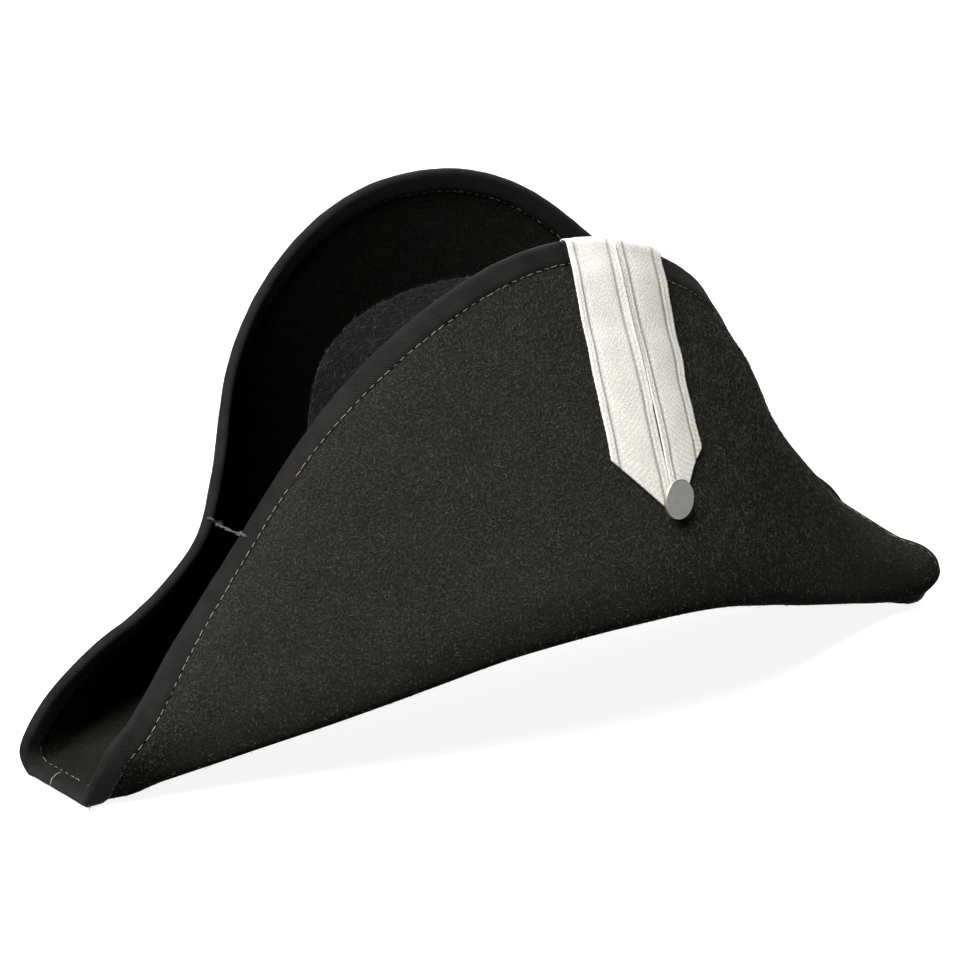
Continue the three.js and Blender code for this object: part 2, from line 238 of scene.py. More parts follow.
def lerp(a: Array | float, b: Array | float, share: Array | float) -> Array | float:
    """Returns the value a share of the way from a to b."""
    return a + (b - a) * share


@dataclass(frozen=True)
class Spline:
    """A centripetal Catmull-Rom curve through points, as the CAD model draws its edges.

    Attributes:
        points: The points, one a row.
        closed: Whether the curve runs on from its last point to its first.
    """

    points: Array
    closed: bool = False

    def at(self, t: Array) -> Array:
        """Finds points of the curve.

        Args:
            t: Parameters from 0 to 1.

        Returns:
            One point a row.
        """
        points = self.points
        count = len(points)
        place = np.atleast_1d(np.asarray(t, float)) * (count if self.closed else count - 1)
        if self.closed:
            first = np.floor(place).astype(int)
            p0, p1, p2, p3 = (points[(first + k) % count] for k in (-1, 0, 1, 2))
        else:
            first = np.clip(np.floor(place).astype(int), 0, count - 2)
            ends = np.vstack([2 * points[0] - points[1], points, 2 * points[-1] - points[-2]])
            p0, p1, p2, p3 = (ends[first + k] for k in (0, 1, 2, 3))
        w = (place - first)[:, None]
        d0, d1, d2 = (
            np.maximum(np.linalg.norm(b - a, axis=1, keepdims=True), 1e-9) ** 0.5
            for a, b in ((p0, p1), (p1, p2), (p2, p3))
        )
        out = ((p1 - p0) / d0 - (p2 - p0) / (d0 + d1) + (p2 - p1) / d1) * d1
        into = ((p2 - p1) / d1 - (p3 - p1) / (d1 + d2) + (p3 - p2) / d2) * d1
        c2 = 3 * (p2 - p1) - 2 * out - into
        c3 = 2 * (p1 - p2) + out + into
        return p1 + w * (out + w * (c2 + w * c3))

    def tangent(self, t: Array) -> Array:
        """Returns unit tangents at parameters t, one a row."""
        t = np.atleast_1d(np.asarray(t, float))
        return unit(self.at(t + 1e-4) - self.at(t - 1e-4))


class Frames(NamedTuple):
    """The felt's edge at stations round the brim, one a row.

    The flat normal is the flap's own, and the normal and the way in are those of the curled edge.
    """

    edge: Array
    fold: Array
    flat: Array
    curl: Array
    normal: Array
    inward: Array


@dataclass(frozen=True)
class Grid:
    """A grid of points with the directions in which it is thickened.

    The last station is followed by the first.

    Attributes:
        points: Points by station and row.
        normals: Mitred normals by station and row, a little over length one at creases.
    """

    points: Array
    normals: Array

    @classmethod
    def of(cls, points: Array) -> Grid:
        """Builds the grid and its mitred normals from its points.

        Args:
            points: Points by station and row.

        Returns:
            The grid.
        """
        after = np.roll(points, -1, axis=0)
        faces = unit(np.cross(after[:, :-1] - points[:, 1:], after[:, 1:] - points[:, :-1]))
        total = np.zeros_like(points)
        for face in (np.roll(faces, 1, axis=0), faces):
            total[:, 1:] += face
            total[:, :-1] += face
            total[:, 0] += face[:, 0]
            total[:, -1] += face[:, -1]
        mean = total / 4
        length = np.maximum((mean**2).sum(axis=-1, keepdims=True), MITRE)
        return cls(points, mean / length)

    def offset(self, distance: float | Array) -> Array:
        """Returns the grid's points moved along their normals."""
        return self.points + self.normals * np.asarray(distance)[..., None]

    def scatter(self, count: int, weight: Array, random: np.random.Generator) -> tuple[Array, Array]:
        """Picks places on the grid, as densely as each row of quads is weighted.

        Args:
            count: How many places to pick.
            weight: How dense they are, by station and row of quads or by row alone.
            random: What they are drawn from.

        Returns:
            The points and the unit normals there, one a row.
        """
        points = self.points
        after = np.roll(points, -1, axis=0)
        crossed = np.cross(after[:, 1:] - points[:, :-1], after[:, :-1] - points[:, 1:])
        area = np.linalg.norm(crossed, axis=2) * weight
        cells = random.choice(area.size, count, p=area.ravel() / area.sum())
        i, j = np.divmod(cells, area.shape[1])
        return self.sample(i + random.random(count), j + random.random(count))

    def sample(self, i: Array, j: Array) -> tuple[Array, Array]:
        """Reads the grid between its points.

        Args:
            i: Places along the stations, in steps of the grid.
            j: Places along the rows.

        Returns:
            The points and the unit normals there, one a row.
        """
        count, rows = self.points.shape[:2]
        low_i, low_j = np.floor(i).astype(int), np.clip(np.floor(j).astype(int), 0, rows - 2)
        u, v = (i - low_i)[:, None], (j - low_j)[:, None]
        a, b = low_i % count, (low_i + 1) % count

        def mix(values: Array) -> Array:
            """Returns values blended between the four corners of each place."""
            low = values[a, low_j] * (1 - u) + values[b, low_j] * u
            high = values[a, low_j + 1] * (1 - u) + values[b, low_j + 1] * u
            return low * (1 - v) + high * v

        return mix(self.points), unit(mix(self.normals))


@dataclass(frozen=True)
class BrimShape:
    """The middle surface of the brim, from the head opening out to the felt's own edge.

    Attributes:
        spacing: Distance between stations along the edge.
        floor_rows: Rows of quads over the floor.
        fold_rows: Rows of quads round the fold.
        flap_rows: Rows of quads up the flap.
        tape_rows: Rows of quads under the tape.
    """

    spacing: float = 2.0
    floor_rows: int = 7
    fold_rows: int = 8
    flap_rows: int = 22
    tape_rows: int = 8

    @cached_property
    def fold_line(self) -> Spline:
        """The fold from one tip to the other, behind the middle."""
        right = np.array(FOLD, float)
        left = right[:0:-1] * (-1, 1, 1)
        return Spline(np.vstack([left, right]))

    @cached_property
    def fold_table(self) -> Array:
        """Points of the fold's right half, close enough together to read between."""
        return self.fold_line.at(np.linspace(0.5, 1, SAMPLES))

    def fold_at(self, x: Array) -> Array:
        """Returns the back fold's points at |x|, one a row."""
        table = self.fold_table
        x = np.abs(np.atleast_1d(x))
        return np.stack([np.interp(x, table[:, 0], table[:, k]) for k in range(3)], axis=1)

    def floor_height(self, x: Array) -> Array:
        """Returns the height of the floor's middle surface at x."""
        shape = np.shape(x)
        return np.maximum(LEVEL, self.fold_at(np.ravel(x))[:, 2]).reshape(shape)

    @cached_property
    def keys(self) -> Array:
        """Edge point, fold point and curl once round, from the middle of the front to the right."""
        folds = self.fold_at(np.array(SECTION_FOLDS))
        tip = np.array([[TIP_END, 0, LEVEL, folds[-1, 0], 0, folds[-1, 2], 0]])

        def quarter(rows: tuple[EdgeRow, ...], depth: int) -> Array:
            """Returns the rows of one quarter, as on the right."""
            edge = np.array(rows)
            return np.hstack([edge[:, :3], folds * (1, depth, 1), edge[:, 3:]])

        other_side = np.array([-1, 1, 1, -1, 1, 1, 1])
        front, back = quarter(FRONT_RIGHT, -1), quarter(BACK, 1)
        left = np.vstack([back[1:], tip, quarter(FRONT_LEFT, -1)[:0:-1]]) * other_side
        return np.vstack([front, tip, back[::-1], left])

    @cached_property
    def edge_curve(self) -> Spline:
        """The felt's own edge, once round."""
        return Spline(self.keys[:, :3], closed=True)

    @cached_property
    def fold_curve(self) -> Spline:
        """The fold under each point of the edge, once round."""
        return Spline(self.keys[:, 3:6], closed=True)

    @cached_property
    def stations(self) -> Array:
        """Parameters of the stations round the brim."""
        edge = self.keys[:, :3]
        lengths = np.linalg.norm(np.roll(edge, -1, axis=0) - edge, axis=1)
        made = []
        for k, length in enumerate(lengths):
            steps = max(2, round(length / self.spacing))
            made.extend((k + s / steps) / len(edge) for s in range(steps))
        return np.array(made)

    def frames(self, t: Array) -> Frames:
        """Finds the edge's frames. The way in is level where the tape lies on the ground.

        Args:
            t: Parameters of the stations.

        Returns:
            The frames, one a row.
        """
        edge, fold = self.edge_curve.at(t), self.fold_curve.at(t)
        edge[:, 2] = np.maximum(edge[:, 2], LEVEL)
        along = self.edge_curve.tangent(t)
        flat = unit(np.cross(along, edge - fold))
        curls = np.radians(np.append(self.keys[:, 6], self.keys[0, 6]))
        curl = np.interp(np.asarray(t) * len(self.keys), np.arange(len(curls)), curls)[:, None]
        normal = flat * np.cos(curl) - np.cross(along, flat) * np.sin(curl)
        inward = unit(np.cross(along, normal))
        inward[:, 2] *= smoothstep(edge[:, 2], LEVEL, LEVEL + LEVEL_BAND)
        return Frames(edge, fold, flat, curl, normal, unit(inward))

    @cached_property
    def grid(self) -> Grid:
        """The middle surface as a grid."""
        frames = self.frames(self.stations)
        fold = frames.fold
        angle = np.arctan2(fold[:, 1] / OPENING_DEPTH, fold[:, 0] / OPENING_SIDE)
        x = (OPENING_SIDE - JOIN) * np.cos(angle)
        opening = np.stack([x, (OPENING_DEPTH - JOIN) * np.sin(angle), self.floor_height(x)], axis=1)
        tape_edge = frames.edge + frames.inward * TAPE_REACH
        radius = np.linalg.norm(fold - tape_edge, axis=1, keepdims=True) / 2
        radius = np.minimum(FOLD_RADIUS, radius)
        fold_top = fold + unit(tape_edge - fold) * radius
        fold_end = fold + unit(opening - fold) * radius
        fold_end[:, 2] = self.floor_height(fold_end[:, 0])
        rows = []
        for share in np.arange(self.floor_rows) / self.floor_rows:
            point = lerp(opening, fold_end, share)
            point[:, 2] = self.floor_height(point[:, 0])
            rows.append(point)
        for w in np.arange(self.fold_rows) / self.fold_rows:
            rows.append((1 - w) ** 2 * fold_end + 2 * w * (1 - w) * fold + w * w * fold_top)
        third = (tape_edge - fold_top) / 3
        reach = np.minimum(np.linalg.norm(third, axis=1, keepdims=True), CURL_REACH)
        upper = tape_edge - unit(third) * np.cos(frames.curl) * reach
        upper = upper + frames.flat * np.sin(frames.curl) * reach
        for w in np.arange(self.flap_rows) / self.flap_rows:
            low = (1 - w) ** 3 * fold_top + 3 * (1 - w) ** 2 * w * (fold_top + third)
            rows.append(low + 3 * (1 - w) * w * w * upper + w**3 * tape_edge)
        for share in np.arange(self.tape_rows + 1) / self.tape_rows:
            rows.append(lerp(tape_edge, frames.edge, share))
        return Grid.of(np.stack(rows, axis=1))

    @cached_property
    def travel(self) -> Array:
        """Distance along the edge to each station, and once round at the end."""
        edge = self.grid.points[:, -1]
        steps = np.linalg.norm(np.roll(edge, -1, axis=0) - edge, axis=1)
        return np.concatenate([[0.0], np.cumsum(steps)])

    def station_of(self, distance: Array) -> Array:
        """Returns the places among the stations at distances along the edge."""
        return np.interp(distance % self.travel[-1], self.travel, np.arange(len(self.travel)))

    def on_tape(self, distance: Array, down: Array, lift: Array) -> Array:
        """Finds points on the tape's band of the brim.

        Args:
            distance: Distances along the edge.
            down: Distances in from the felt's own edge.
            lift: Distances off the middle surface, negative on the inside.

        Returns:
            One point a row.
        """
        last = self.grid.points.shape[1] - 1
        row = last - np.maximum(down / TAPE_REACH, 0) * self.tape_rows
        point, normal = self.grid.sample(self.station_of(distance), row)
        return point + normal * lift[:, None]


def drawn_in(edge: float, full: float, down: Array) -> Array:
    """Returns how far a face of the tape lies off the felt's middle surface.

    Args:
        edge: The distance at the tape's own edge, where the seam draws it in.
        full: The distance over the rest of its width.
        down: Distances in from the felt's own edge.

    Returns:
        The distances.
    """
    return lerp(edge, full, smoothstep(TAPE_REACH - np.asarray(down), 0, TAPE_DRAW))


class Laid(NamedTuple):
    """Points on the middle surface of the front flap, one a row.

    Up and inward are the ways up the flap and in across the tape.
    """

    point: Array
    up: Array
    normal: Array
    inward: Array


@dataclass(frozen=True)
class FrontFlap:
    """The front flap as the strap and the button see it.

    Attributes:
        brim: The shape of the brim.
        keys: How many of the edge's keys right of the middle it can find places between.
        samples: How many points its table has.
    """

    brim: BrimShape
    keys: int = 12
    samples: int = 4001

    @cached_property
    def table(self) -> tuple[Array, Array]:
        """Positions along X of the front edge right of the middle, and their parameters."""
        t = np.linspace(0, self.keys / len(self.brim.keys), self.samples)
        return self.brim.edge_curve.at(t)[:, 0], t

    def at(self, x: Array, down: Array) -> Laid:
        """Finds points of the flap's middle surface.

        Args:
            x: Where the section starts on the edge.
            down: Distance down the section from the felt's edge.

        Returns:
            The points and the directions there.
        """
        t = np.interp(x, *self.table)
        frames = self.brim.frames(t)
        fold = self.brim.fold_at(x) * (1, -1, 1)
        up = unit(frames.edge - fold)
        normal = unit(np.cross(self.brim.edge_curve.tangent(t), up))
        return Laid(frames.edge - up * np.asarray(down)[:, None], up, normal, frames.inward)

    def down_to(self, x: Array, z: Array) -> Array:
        """Returns how far down the flap the height z is reached."""
        edge = self.at(x, np.zeros(len(x)))
        return (edge.point[:, 2] - z) / edge.up[:, 2]


# ---- Meshes ----
END_REACH = 0.6  # how far a strand's end stands out, in radii
END_RADIUS = 0.35  # how thick it is there, in radii


def shown(thing: bpy.types.Object) -> bpy.types.Object:
    """Links an object to the scene and returns it."""
    bpy.context.scene.collection.objects.link(thing)
    return thing


@dataclass
class MeshData:
    """Vertices, faces and texture places of a mesh, in millimetres.

    Attributes:
        points: One vertex a row.
        faces: One face a tuple of vertex numbers.
        places: One texture place a vertex, in metres along and across the cloth.
        count: How many vertices there are so far.
    """

    points: list[Array] = field(default_factory=list)
    faces: list[tuple[int, ...]] = field(default_factory=list)
    places: list[Array] = field(default_factory=list)
    count: int = 0

    def add(self, points: Array, faces: list[tuple[int, ...]], places: Array) -> None:
        """Adds a patch of vertices and faces.

        Args:
            points: The vertices, one a row.
            faces: The faces, numbered within the patch.
            places: One texture place a vertex, in millimetres.
        """
        self.points.append(points)
        self.places.append(places * MM)
        self.faces.extend(tuple(v + self.count for v in face) for face in faces)
        self.count += len(points)

    def add_grid(self, points: Array, places: Array, closed: tuple[bool, bool]) -> None:
        """Adds a grid of quads.

        Args:
            points: Points by row and column.
            places: Texture places by row and column, in millimetres.
            closed: Whether the rows and the columns run round.
        """
        n, m = points.shape[:2]
        rows = np.arange(n if closed[0] else n - 1)[:, None]
        columns = np.arange(m if closed[1] else m - 1)[None, :]
        after_row, after_column = (rows + 1) % n, (columns + 1) % m
        quad = [
            rows * m + columns,
            after_row * m + columns,
            after_row * m + after_column,
            rows * m + after_column,
        ]
        faces = np.stack([corner.ravel() for corner in np.broadcast_arrays(*quad)], axis=1)
        self.add(points.reshape(-1, 3), list(map(tuple, faces.tolist())), places.reshape(-1, 2))

    def add_tube(self, line: Array, radius: Array | float, sides: int) -> None:
        """Adds a round strand with closed, rounded ends.

        Args:
            line: The strand's middle line, one point a row.
            radius: Its radius, one for all or one a point.
            sides: How many sides it has.
        """
        radius = np.broadcast_to(radius, len(line)).astype(float)
        first = line[:1] - unit(line[1:2] - line[:1]) * radius[0] * END_REACH
        last = line[-1:] + unit(line[-1:] - line[-2:-1]) * radius[-1] * END_REACH
        line = np.vstack([first, line, last])
        radius = np.concatenate([[radius[0] * END_RADIUS], radius, [radius[-1] * END_RADIUS]])
        along = unit(np.gradient(line, axis=0))
        guide = np.array([0.0, 0.0, 1.0])
        across = np.cross(along, guide)
        upright = np.linalg.norm(across, axis=1) < 0.2
        across[upright] = np.cross(along[upright], (0.0, 1.0, 0.0))
        across = unit(across)
        other = np.cross(along, across)
        turn = np.arange(sides) * 2 * math.pi / sides
        ring = across[:, None] * np.cos(turn)[None, :, None] + other[:, None] * np.sin(turn)[None, :, None]
        points = line[:, None] + ring * radius[:, None, None]
        travel = np.concatenate([[0], np.cumsum(np.linalg.norm(np.diff(line, axis=0), axis=1))])
        places = np.stack(np.broadcast_arrays(travel[:, None], turn[None, :]), axis=2)
        start = self.count
        self.add_grid(points, places, (False, True))
        end = start + (len(line) - 1) * sides
        self.faces.append(tuple(start + k for k in range(sides)))
        self.faces.append(tuple(end + k for k in reversed(range(sides))))

    def add_fray(self, way: Array, crook: float, radius: float, random: np.random.Generator) -> None:
        """Adds a short crooked loose end.

        Args:
            way: Its straight middle line, one point a row.
            crook: How crooked it is.
            radius: Its radius.
            random: What its bends are drawn from.
        """
        self.add_tube(way + random.normal(0, crook, way.shape), radius, 4)

    def build(self, name: str, finish: Finish, replaces: tuple[str, ...] = ()) -> bpy.types.Object:
        """Makes the object, dresses it, and lets it ride on the hat's body.

        Args:
            name: The object's name.
            finish: Its finish.
            replaces: The CAD nodes that it stands for.

        Returns:
            The object.
        """
        mesh = bpy.data.meshes.new(name)
        points = np.vstack(self.points) * MM
        points[:, 2] = np.maximum(points[:, 2], 0)
        mesh.from_pydata(points.tolist(), [], self.faces)
        places = np.vstack(self.places)
        numbers = np.empty(len(mesh.loops), dtype=np.int32)
        mesh.loops.foreach_get("vertex_index", numbers)
        layer = mesh.uv_layers.new(name="cloth")
        layer.data.foreach_set("uv", places[numbers].ravel())
        mesh.shade_smooth()
        mesh.materials.append(finish.material())
        piece = shown(bpy.data.objects.new(name, mesh))
        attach(piece, BODY)
        if replaces:
            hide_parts(*replaces)
        LOG.info("%s: %d triangles", name, sum(len(face) - 2 for face in self.faces))
        return piece


# ---- Finishes ----
class Nodes:
    """A short way to write a material's nodes."""

    def __init__(self, name: str) -> None:
        """Starts a material.

        Args:
            name: The material's name.
        """
        self.material = bpy.data.materials.new(name)
        self.material.use_nodes = True
        self.tree = self.material.node_tree
        self.shader = self.tree.nodes["Principled BSDF"]

    def add(self, kind: str, links: dict[str, object] | None = None, **values: object) -> bpy.types.Node:
        """Adds a node.

        Args:
            kind: The node's type, without its ShaderNode prefix.
            links: Its input sockets, each with a socket to link or a value to set.
            **values: Its own properties.

        Returns:
            The node.
        """
        node = self.tree.nodes.new("ShaderNode" + kind)
        for key, value in values.items():
            setattr(node, key, value)
        for key, value in (links or {}).items():
            self.set(node.inputs[key], value)
        return node

    def set(self, socket: bpy.types.NodeSocket, value: object) -> None:
        """Links a socket to another, or sets its value."""
        if isinstance(value, bpy.types.NodeSocket):
            self.tree.links.new(value, socket)
        else:
            socket.default_value = value

    def give(self, values: dict[str, object]) -> None:
        """Sets values on the shader's own sockets."""
        for key, value in values.items():
            self.shader.inputs[key].default_value = value

    def cloth(self) -> bpy.types.NodeSocket:
        """Returns the places along and across the cloth, in metres."""
        return self.add("UVMap", uv_map="cloth").outputs[0]

    def parts(self, vector: object) -> bpy.types.bpy_prop_collection:
        """Returns the sockets with a vector's parts."""
        return self.add("SeparateXYZ", {"Vector": vector}).outputs

    def space(self) -> bpy.types.NodeSocket:
        """Returns the places in the piece's own space."""
        return self.add("TexCoord").outputs["Object"]

    def noise(
        self, vector: object, scale: float, detail: float = 2.0, roughness: float = 0.5
    ) -> bpy.types.NodeSocket:
        """Returns a noise texture's value.

        Args:
            vector: The socket that places it.
            scale: Its scale, in periods a metre.
            detail: How many finer layers it has.
            roughness: How strong the finer layers are.

        Returns:
            The socket with the value.
        """
        links = {"Vector": vector, "Scale": scale, "Detail": detail, "Roughness": roughness}
        return self.add("TexNoise", links).outputs["Fac"]

    def math(self, operation: str, a: object, b: object = 0.5, c: object = 0.5) -> bpy.types.NodeSocket:
        """Works on two or three values.

        Args:
            operation: What is done, as the Math node calls it.
            a: The first value, or the socket with it.
            b: The second one.
            c: The third one.

        Returns:
            The socket with the outcome.
        """
        node = self.add("Math", operation=operation)
        for socket, value in zip(node.inputs, (a, b, c), strict=False):
            self.set(socket, value)
        return node.outputs[0]

    def within(self, value: object, low: float, high: float) -> bpy.types.NodeSocket:
        """Returns the value stretched from low..high to 0..1."""
        links = {"Value": value, "From Min": low, "From Max": high}
        return self.add("MapRange", links, interpolation_type="SMOOTHSTEP").outputs[0]

    def cloud(self, places: object, scale: float, detail: float = 3.0) -> bpy.types.NodeSocket:
        """Returns soft clouds from 0 to 1."""
        return self.within(self.noise(places, scale, detail), 0.3, 0.7)

    def wave(self, place: object, turns: float) -> bpy.types.NodeSocket:
        """Returns a sine along a place, turning by so many radians a metre."""
        return self.math("SINE", self.math("MULTIPLY", place, turns))

    def raised(self, value: object) -> bpy.types.NodeSocket:
        """Returns a value of -1 to 1 as one of 0 to 1."""
        return self.math("MULTIPLY_ADD", value, 0.5, 0.5)

    def total(self, *terms: tuple[object, float]) -> bpy.types.NodeSocket:
        """Adds values up.

        Args:
            *terms: Each value, or the socket with it, and its weight.

        Returns:
            The socket with the sum.
        """
        (value, weight), *others = terms
        found = self.math("MULTIPLY", value, weight)
        for value, weight in others:
            found = self.math("MULTIPLY_ADD", value, weight, found)
        return found

    def mix(self, share: object, a: object, b: object) -> bpy.types.NodeSocket:
        """Mixes two colours.

        Args:
            share: How much of the second colour there is, from 0 to 1.
            a: The first colour, or the socket with it.
            b: The second one.

        Returns:
            The socket with the colour.
        """
        node = self.add("Mix", data_type="RGBA")
        self.set(node.inputs[0], share)
        self.set(node.inputs[6], a)
        self.set(node.inputs[7], b)
        return node.outputs[2]

    def bump(self, height: object, distance: float, strength: float = 1.0) -> None:
        """Gives the shader a relief.

        Args:
            height: The socket with its height, from 0 to 1.
            distance: How high 1 stands, in metres.
            strength: How strongly it shows.
        """
        links = {"Height": height, "Distance": distance, "Strength": strength}
        node = self.add("Bump", links)
        self.set(self.shader.inputs["Normal"], node.outputs[0])

    def wool(self, places: object) -> bpy.types.NodeSocket:
        """Returns short crooked fibres, as a value that is 1 along each of them.

        Args:
            places: The socket that places them.

        Returns:
            The socket with the value.
        """
        found = None
        for scale, spread in ((900.0, 0.05), (1500.0, 0.06)):
            value = self.noise(places, scale, 1.0)
            ridge = self.math("ABSOLUTE", self.math("SUBTRACT", value, 0.5))
            line = self.within(ridge, spread, 0.0)
            piece = self.within(self.noise(places, scale * 0.6, 1.0), 0.46, 0.56)
            strand = self.math("MULTIPLY", line, piece)
            found = strand if found is None else self.math("MAXIMUM", found, strand)
        return found


Colour = tuple[float, float, float, float]
BLACK: Colour = (0, 0, 0, 1)
WHITE: Colour = (1, 1, 1, 1)


def shaded(colour: Colour, factor: float) -> Colour:
    """Returns the colour made darker or lighter by a factor."""
    return (*(factor * part for part in colour[:3]), 1)


@dataclass(frozen=True)
class Finish:
    """How a piece's surface looks.

    Attributes:
        name: The material's name.
        slot: The record's slot that it belongs to. Not used.
        colour: Its main colour.
        roughness: Its roughness.
    """

    name: str
    slot: Slot
    colour: Colour
    roughness: float

    def material(self) -> bpy.types.Material:
        """Makes the material the first time it is asked for.

        Returns:
            The material.
        """
        known = bpy.data.materials.get(self.name)
        if known is not None:
            return known
        nodes = Nodes(self.name)
        nodes.give({"Base Color": self.colour, "Roughness": self.roughness})
        self.dress(nodes)
        return nodes.material

    def dress(self, nodes: Nodes) -> None:
        """Adds what is particular to the finish."""


@dataclass(frozen=True)
class FeltFinish(Finish):
    """Wool felt: mottled, with short fibres that catch the light.

    Attributes:
        fibre: The colour of the fibres that show.
        share: How strongly the fibres show.
        sheen: How strongly the nap shines at a glancing angle.
        painted_light: How light the painted shade along the fold leaves the felt, as a share of its colour.
        mottle: How many mottles there are in a metre.
        dark: The darkest mottle, as a share of its colour.
        light: The lightest mottle, as a share of its colour.
        relief: How high the fibres stand, in metres.
    """

    fibre: Colour = (0.07, 0.072, 0.06, 1)
    share: float = 0.2
    sheen: float = 0.003
    painted_light: float = 0.5
    mottle: float = 950.0
    dark: float = 0.5
    light: float = 1.5
    relief: float = 0.0005

    def dress(self, nodes: Nodes) -> None:
        """Adds the mottling, the fibres and the painted shade along the fold."""
        places = nodes.space()
        fibres = nodes.wool(places)
        grain = nodes.within(nodes.noise(places, self.mottle, 3.0, 0.7), 0.36, 0.64)
        tone = nodes.total((grain, 0.85), (nodes.cloud(places, 60.0), 0.15))
        ground = nodes.mix(tone, shaded(self.colour, self.dark), shaded(self.colour, self.light))
        colour = nodes.mix(nodes.math("MULTIPLY", fibres, self.share), ground, self.fibre)
        # Painted shade: the felt darkens towards the fold, read from the second texture place.
        away = nodes.within(nodes.parts(nodes.cloth())[1], 0.0, FOLD_SHADE_REACH * MM)
        level = nodes.math("MULTIPLY_ADD", away, 1 - self.painted_light, self.painted_light)
        nodes.set(nodes.shader.inputs["Base Color"], nodes.mix(level, BLACK, colour))
        nodes.give({"Specular IOR Level": 0.02, "Sheen Weight": self.sheen, "Sheen Roughness": 0.45})
        nodes.bump(nodes.math("MULTIPLY_ADD", fibres, 0.5, grain), self.relief, 0.9)


@dataclass(frozen=True)
class TwillFinish(Finish):
    """A woven tape with diagonal ribs.

    Attributes:
        pitch: Distance from rib to rib, in metres.
        cross: Distance from yarn to yarn along a rib, in pitches.
        depth: How deep the ribs are, in metres.
        shade: How dark the cloth is between the ribs, as a share of its colour.
        sheen: How strongly it shines at a glancing angle.
    """

    pitch: float = 0.0008
    cross: float = 1.9
    depth: float = 0.0003
    shade: float = 0.12
    sheen: float = 0.01

    def dress(self, nodes: Nodes) -> None:
        """Adds the ribs and an uneven tone."""
        cloth = nodes.cloth()
        along, across = nodes.parts(cloth)[:2]
        sway = nodes.math("MULTIPLY", nodes.noise(cloth, 300.0), self.pitch * 0.8)
        slant = nodes.math("ADD", nodes.math("ADD", along, across), sway)
        rib = nodes.raised(nodes.wave(slant, 2 * math.pi / (self.pitch * math.sqrt(2))))
        against = nodes.math("SUBTRACT", along, across)
        yarn = nodes.raised(nodes.wave(against, 2 * math.pi / (self.pitch * self.cross)))
        weave = nodes.total((rib, 0.7), (yarn, 0.3))
        tone = nodes.total((weave, 0.75), (nodes.cloud(cloth, 90.0), 0.25))
        colour = nodes.mix(tone, shaded(self.colour, self.shade), self.colour)
        nodes.set(nodes.shader.inputs["Base Color"], colour)
        nodes.give({"Specular IOR Level": 0.05, "Sheen Weight": self.sheen, "Sheen Roughness": 0.4})
        nodes.bump(weave, self.depth)


@dataclass(frozen=True)
class BraidFinish(Finish):
    """A plain woven braid of fine, slightly uneven yarns, with grooves along it.

    Attributes:
        pitch: Distance from yarn to yarn, in metres.
        depth: How deep the weave is, in metres.
        shade: How dark the cloth is between the yarns, as a share of its colour.
        grooves: Where the grooves lie across the two runs, with painted shade, in metres.
        groove_width: How far a groove's painted shade shows to each side, in metres.
    """

    pitch: float = 0.0009
    depth: float = 0.00009
    shade: float = 0.42
    grooves: tuple[float, ...] = (0.006, 0.0271, 0.0359, 0.0521)
    groove_width: float = 0.0023

    def groove(self, nodes: Nodes, place: bpy.types.NodeSocket) -> bpy.types.NodeSocket:
        """Returns a value that is 1 in the middle of each groove beside a selvage, where shade is painted.

        Args:
            nodes: The material's nodes.
            place: The socket with the place across the braid.

        Returns:
            The socket with the value.
        """
        found = None
        for middle in self.grooves:
            away = nodes.math("ABSOLUTE", nodes.math("SUBTRACT", place, middle))
            line = nodes.within(away, self.groove_width, 0.0)
            found = line if found is None else nodes.math("MAXIMUM", found, line)
        return found

    def dress(self, nodes: Nodes) -> None:
        """Adds the weave, painted shade in the grooves and an uneven tone."""
        cloth = nodes.cloth()
        across, along = nodes.parts(cloth)[:2]
        sway = nodes.math("MULTIPLY", nodes.noise(cloth, 500.0), self.pitch * 1.6)
        warp = nodes.wave(nodes.math("ADD", across, sway), math.pi / self.pitch)
        weft = nodes.wave(nodes.math("ADD", along, sway), 0.8 * math.pi / self.pitch)
        weave = nodes.raised(nodes.math("MULTIPLY", warp, weft))
        grain = nodes.within(nodes.noise(cloth, 1300.0, 3.0, 0.8), 0.38, 0.62)
        cloud, groove = nodes.cloud(cloth, 90.0), self.groove(nodes, across)
        # Painted shade: the grooves are painted darker.
        tone = nodes.total((grain, 0.5), (weave, 0.35), (cloud, 0.15), (groove, -0.5))
        colour = nodes.mix(tone, shaded(self.colour, self.shade), self.colour)
        nodes.set(nodes.shader.inputs["Base Color"], colour)
        nodes.give({"Specular IOR Level": 0.1})
        nodes.bump(tone, self.depth)


@dataclass(frozen=True)
class YarnFinish(Finish):
    """Plain sewing thread or yarn.

    Attributes:
        shade: How dark the darkest fibres are, as a share of its colour.
    """

    shade: float = 0.6

    def dress(self, nodes: Nodes) -> None:
        """Adds a fine uneven tone."""
        grain = nodes.noise(nodes.space(), 2500.0)
        colour = nodes.mix(grain, shaded(self.colour, self.shade), self.colour)
        nodes.set(nodes.shader.inputs["Base Color"], colour)
        nodes.give({"Specular IOR Level": 0.2})
        nodes.bump(grain, 0.0001, 0.5)


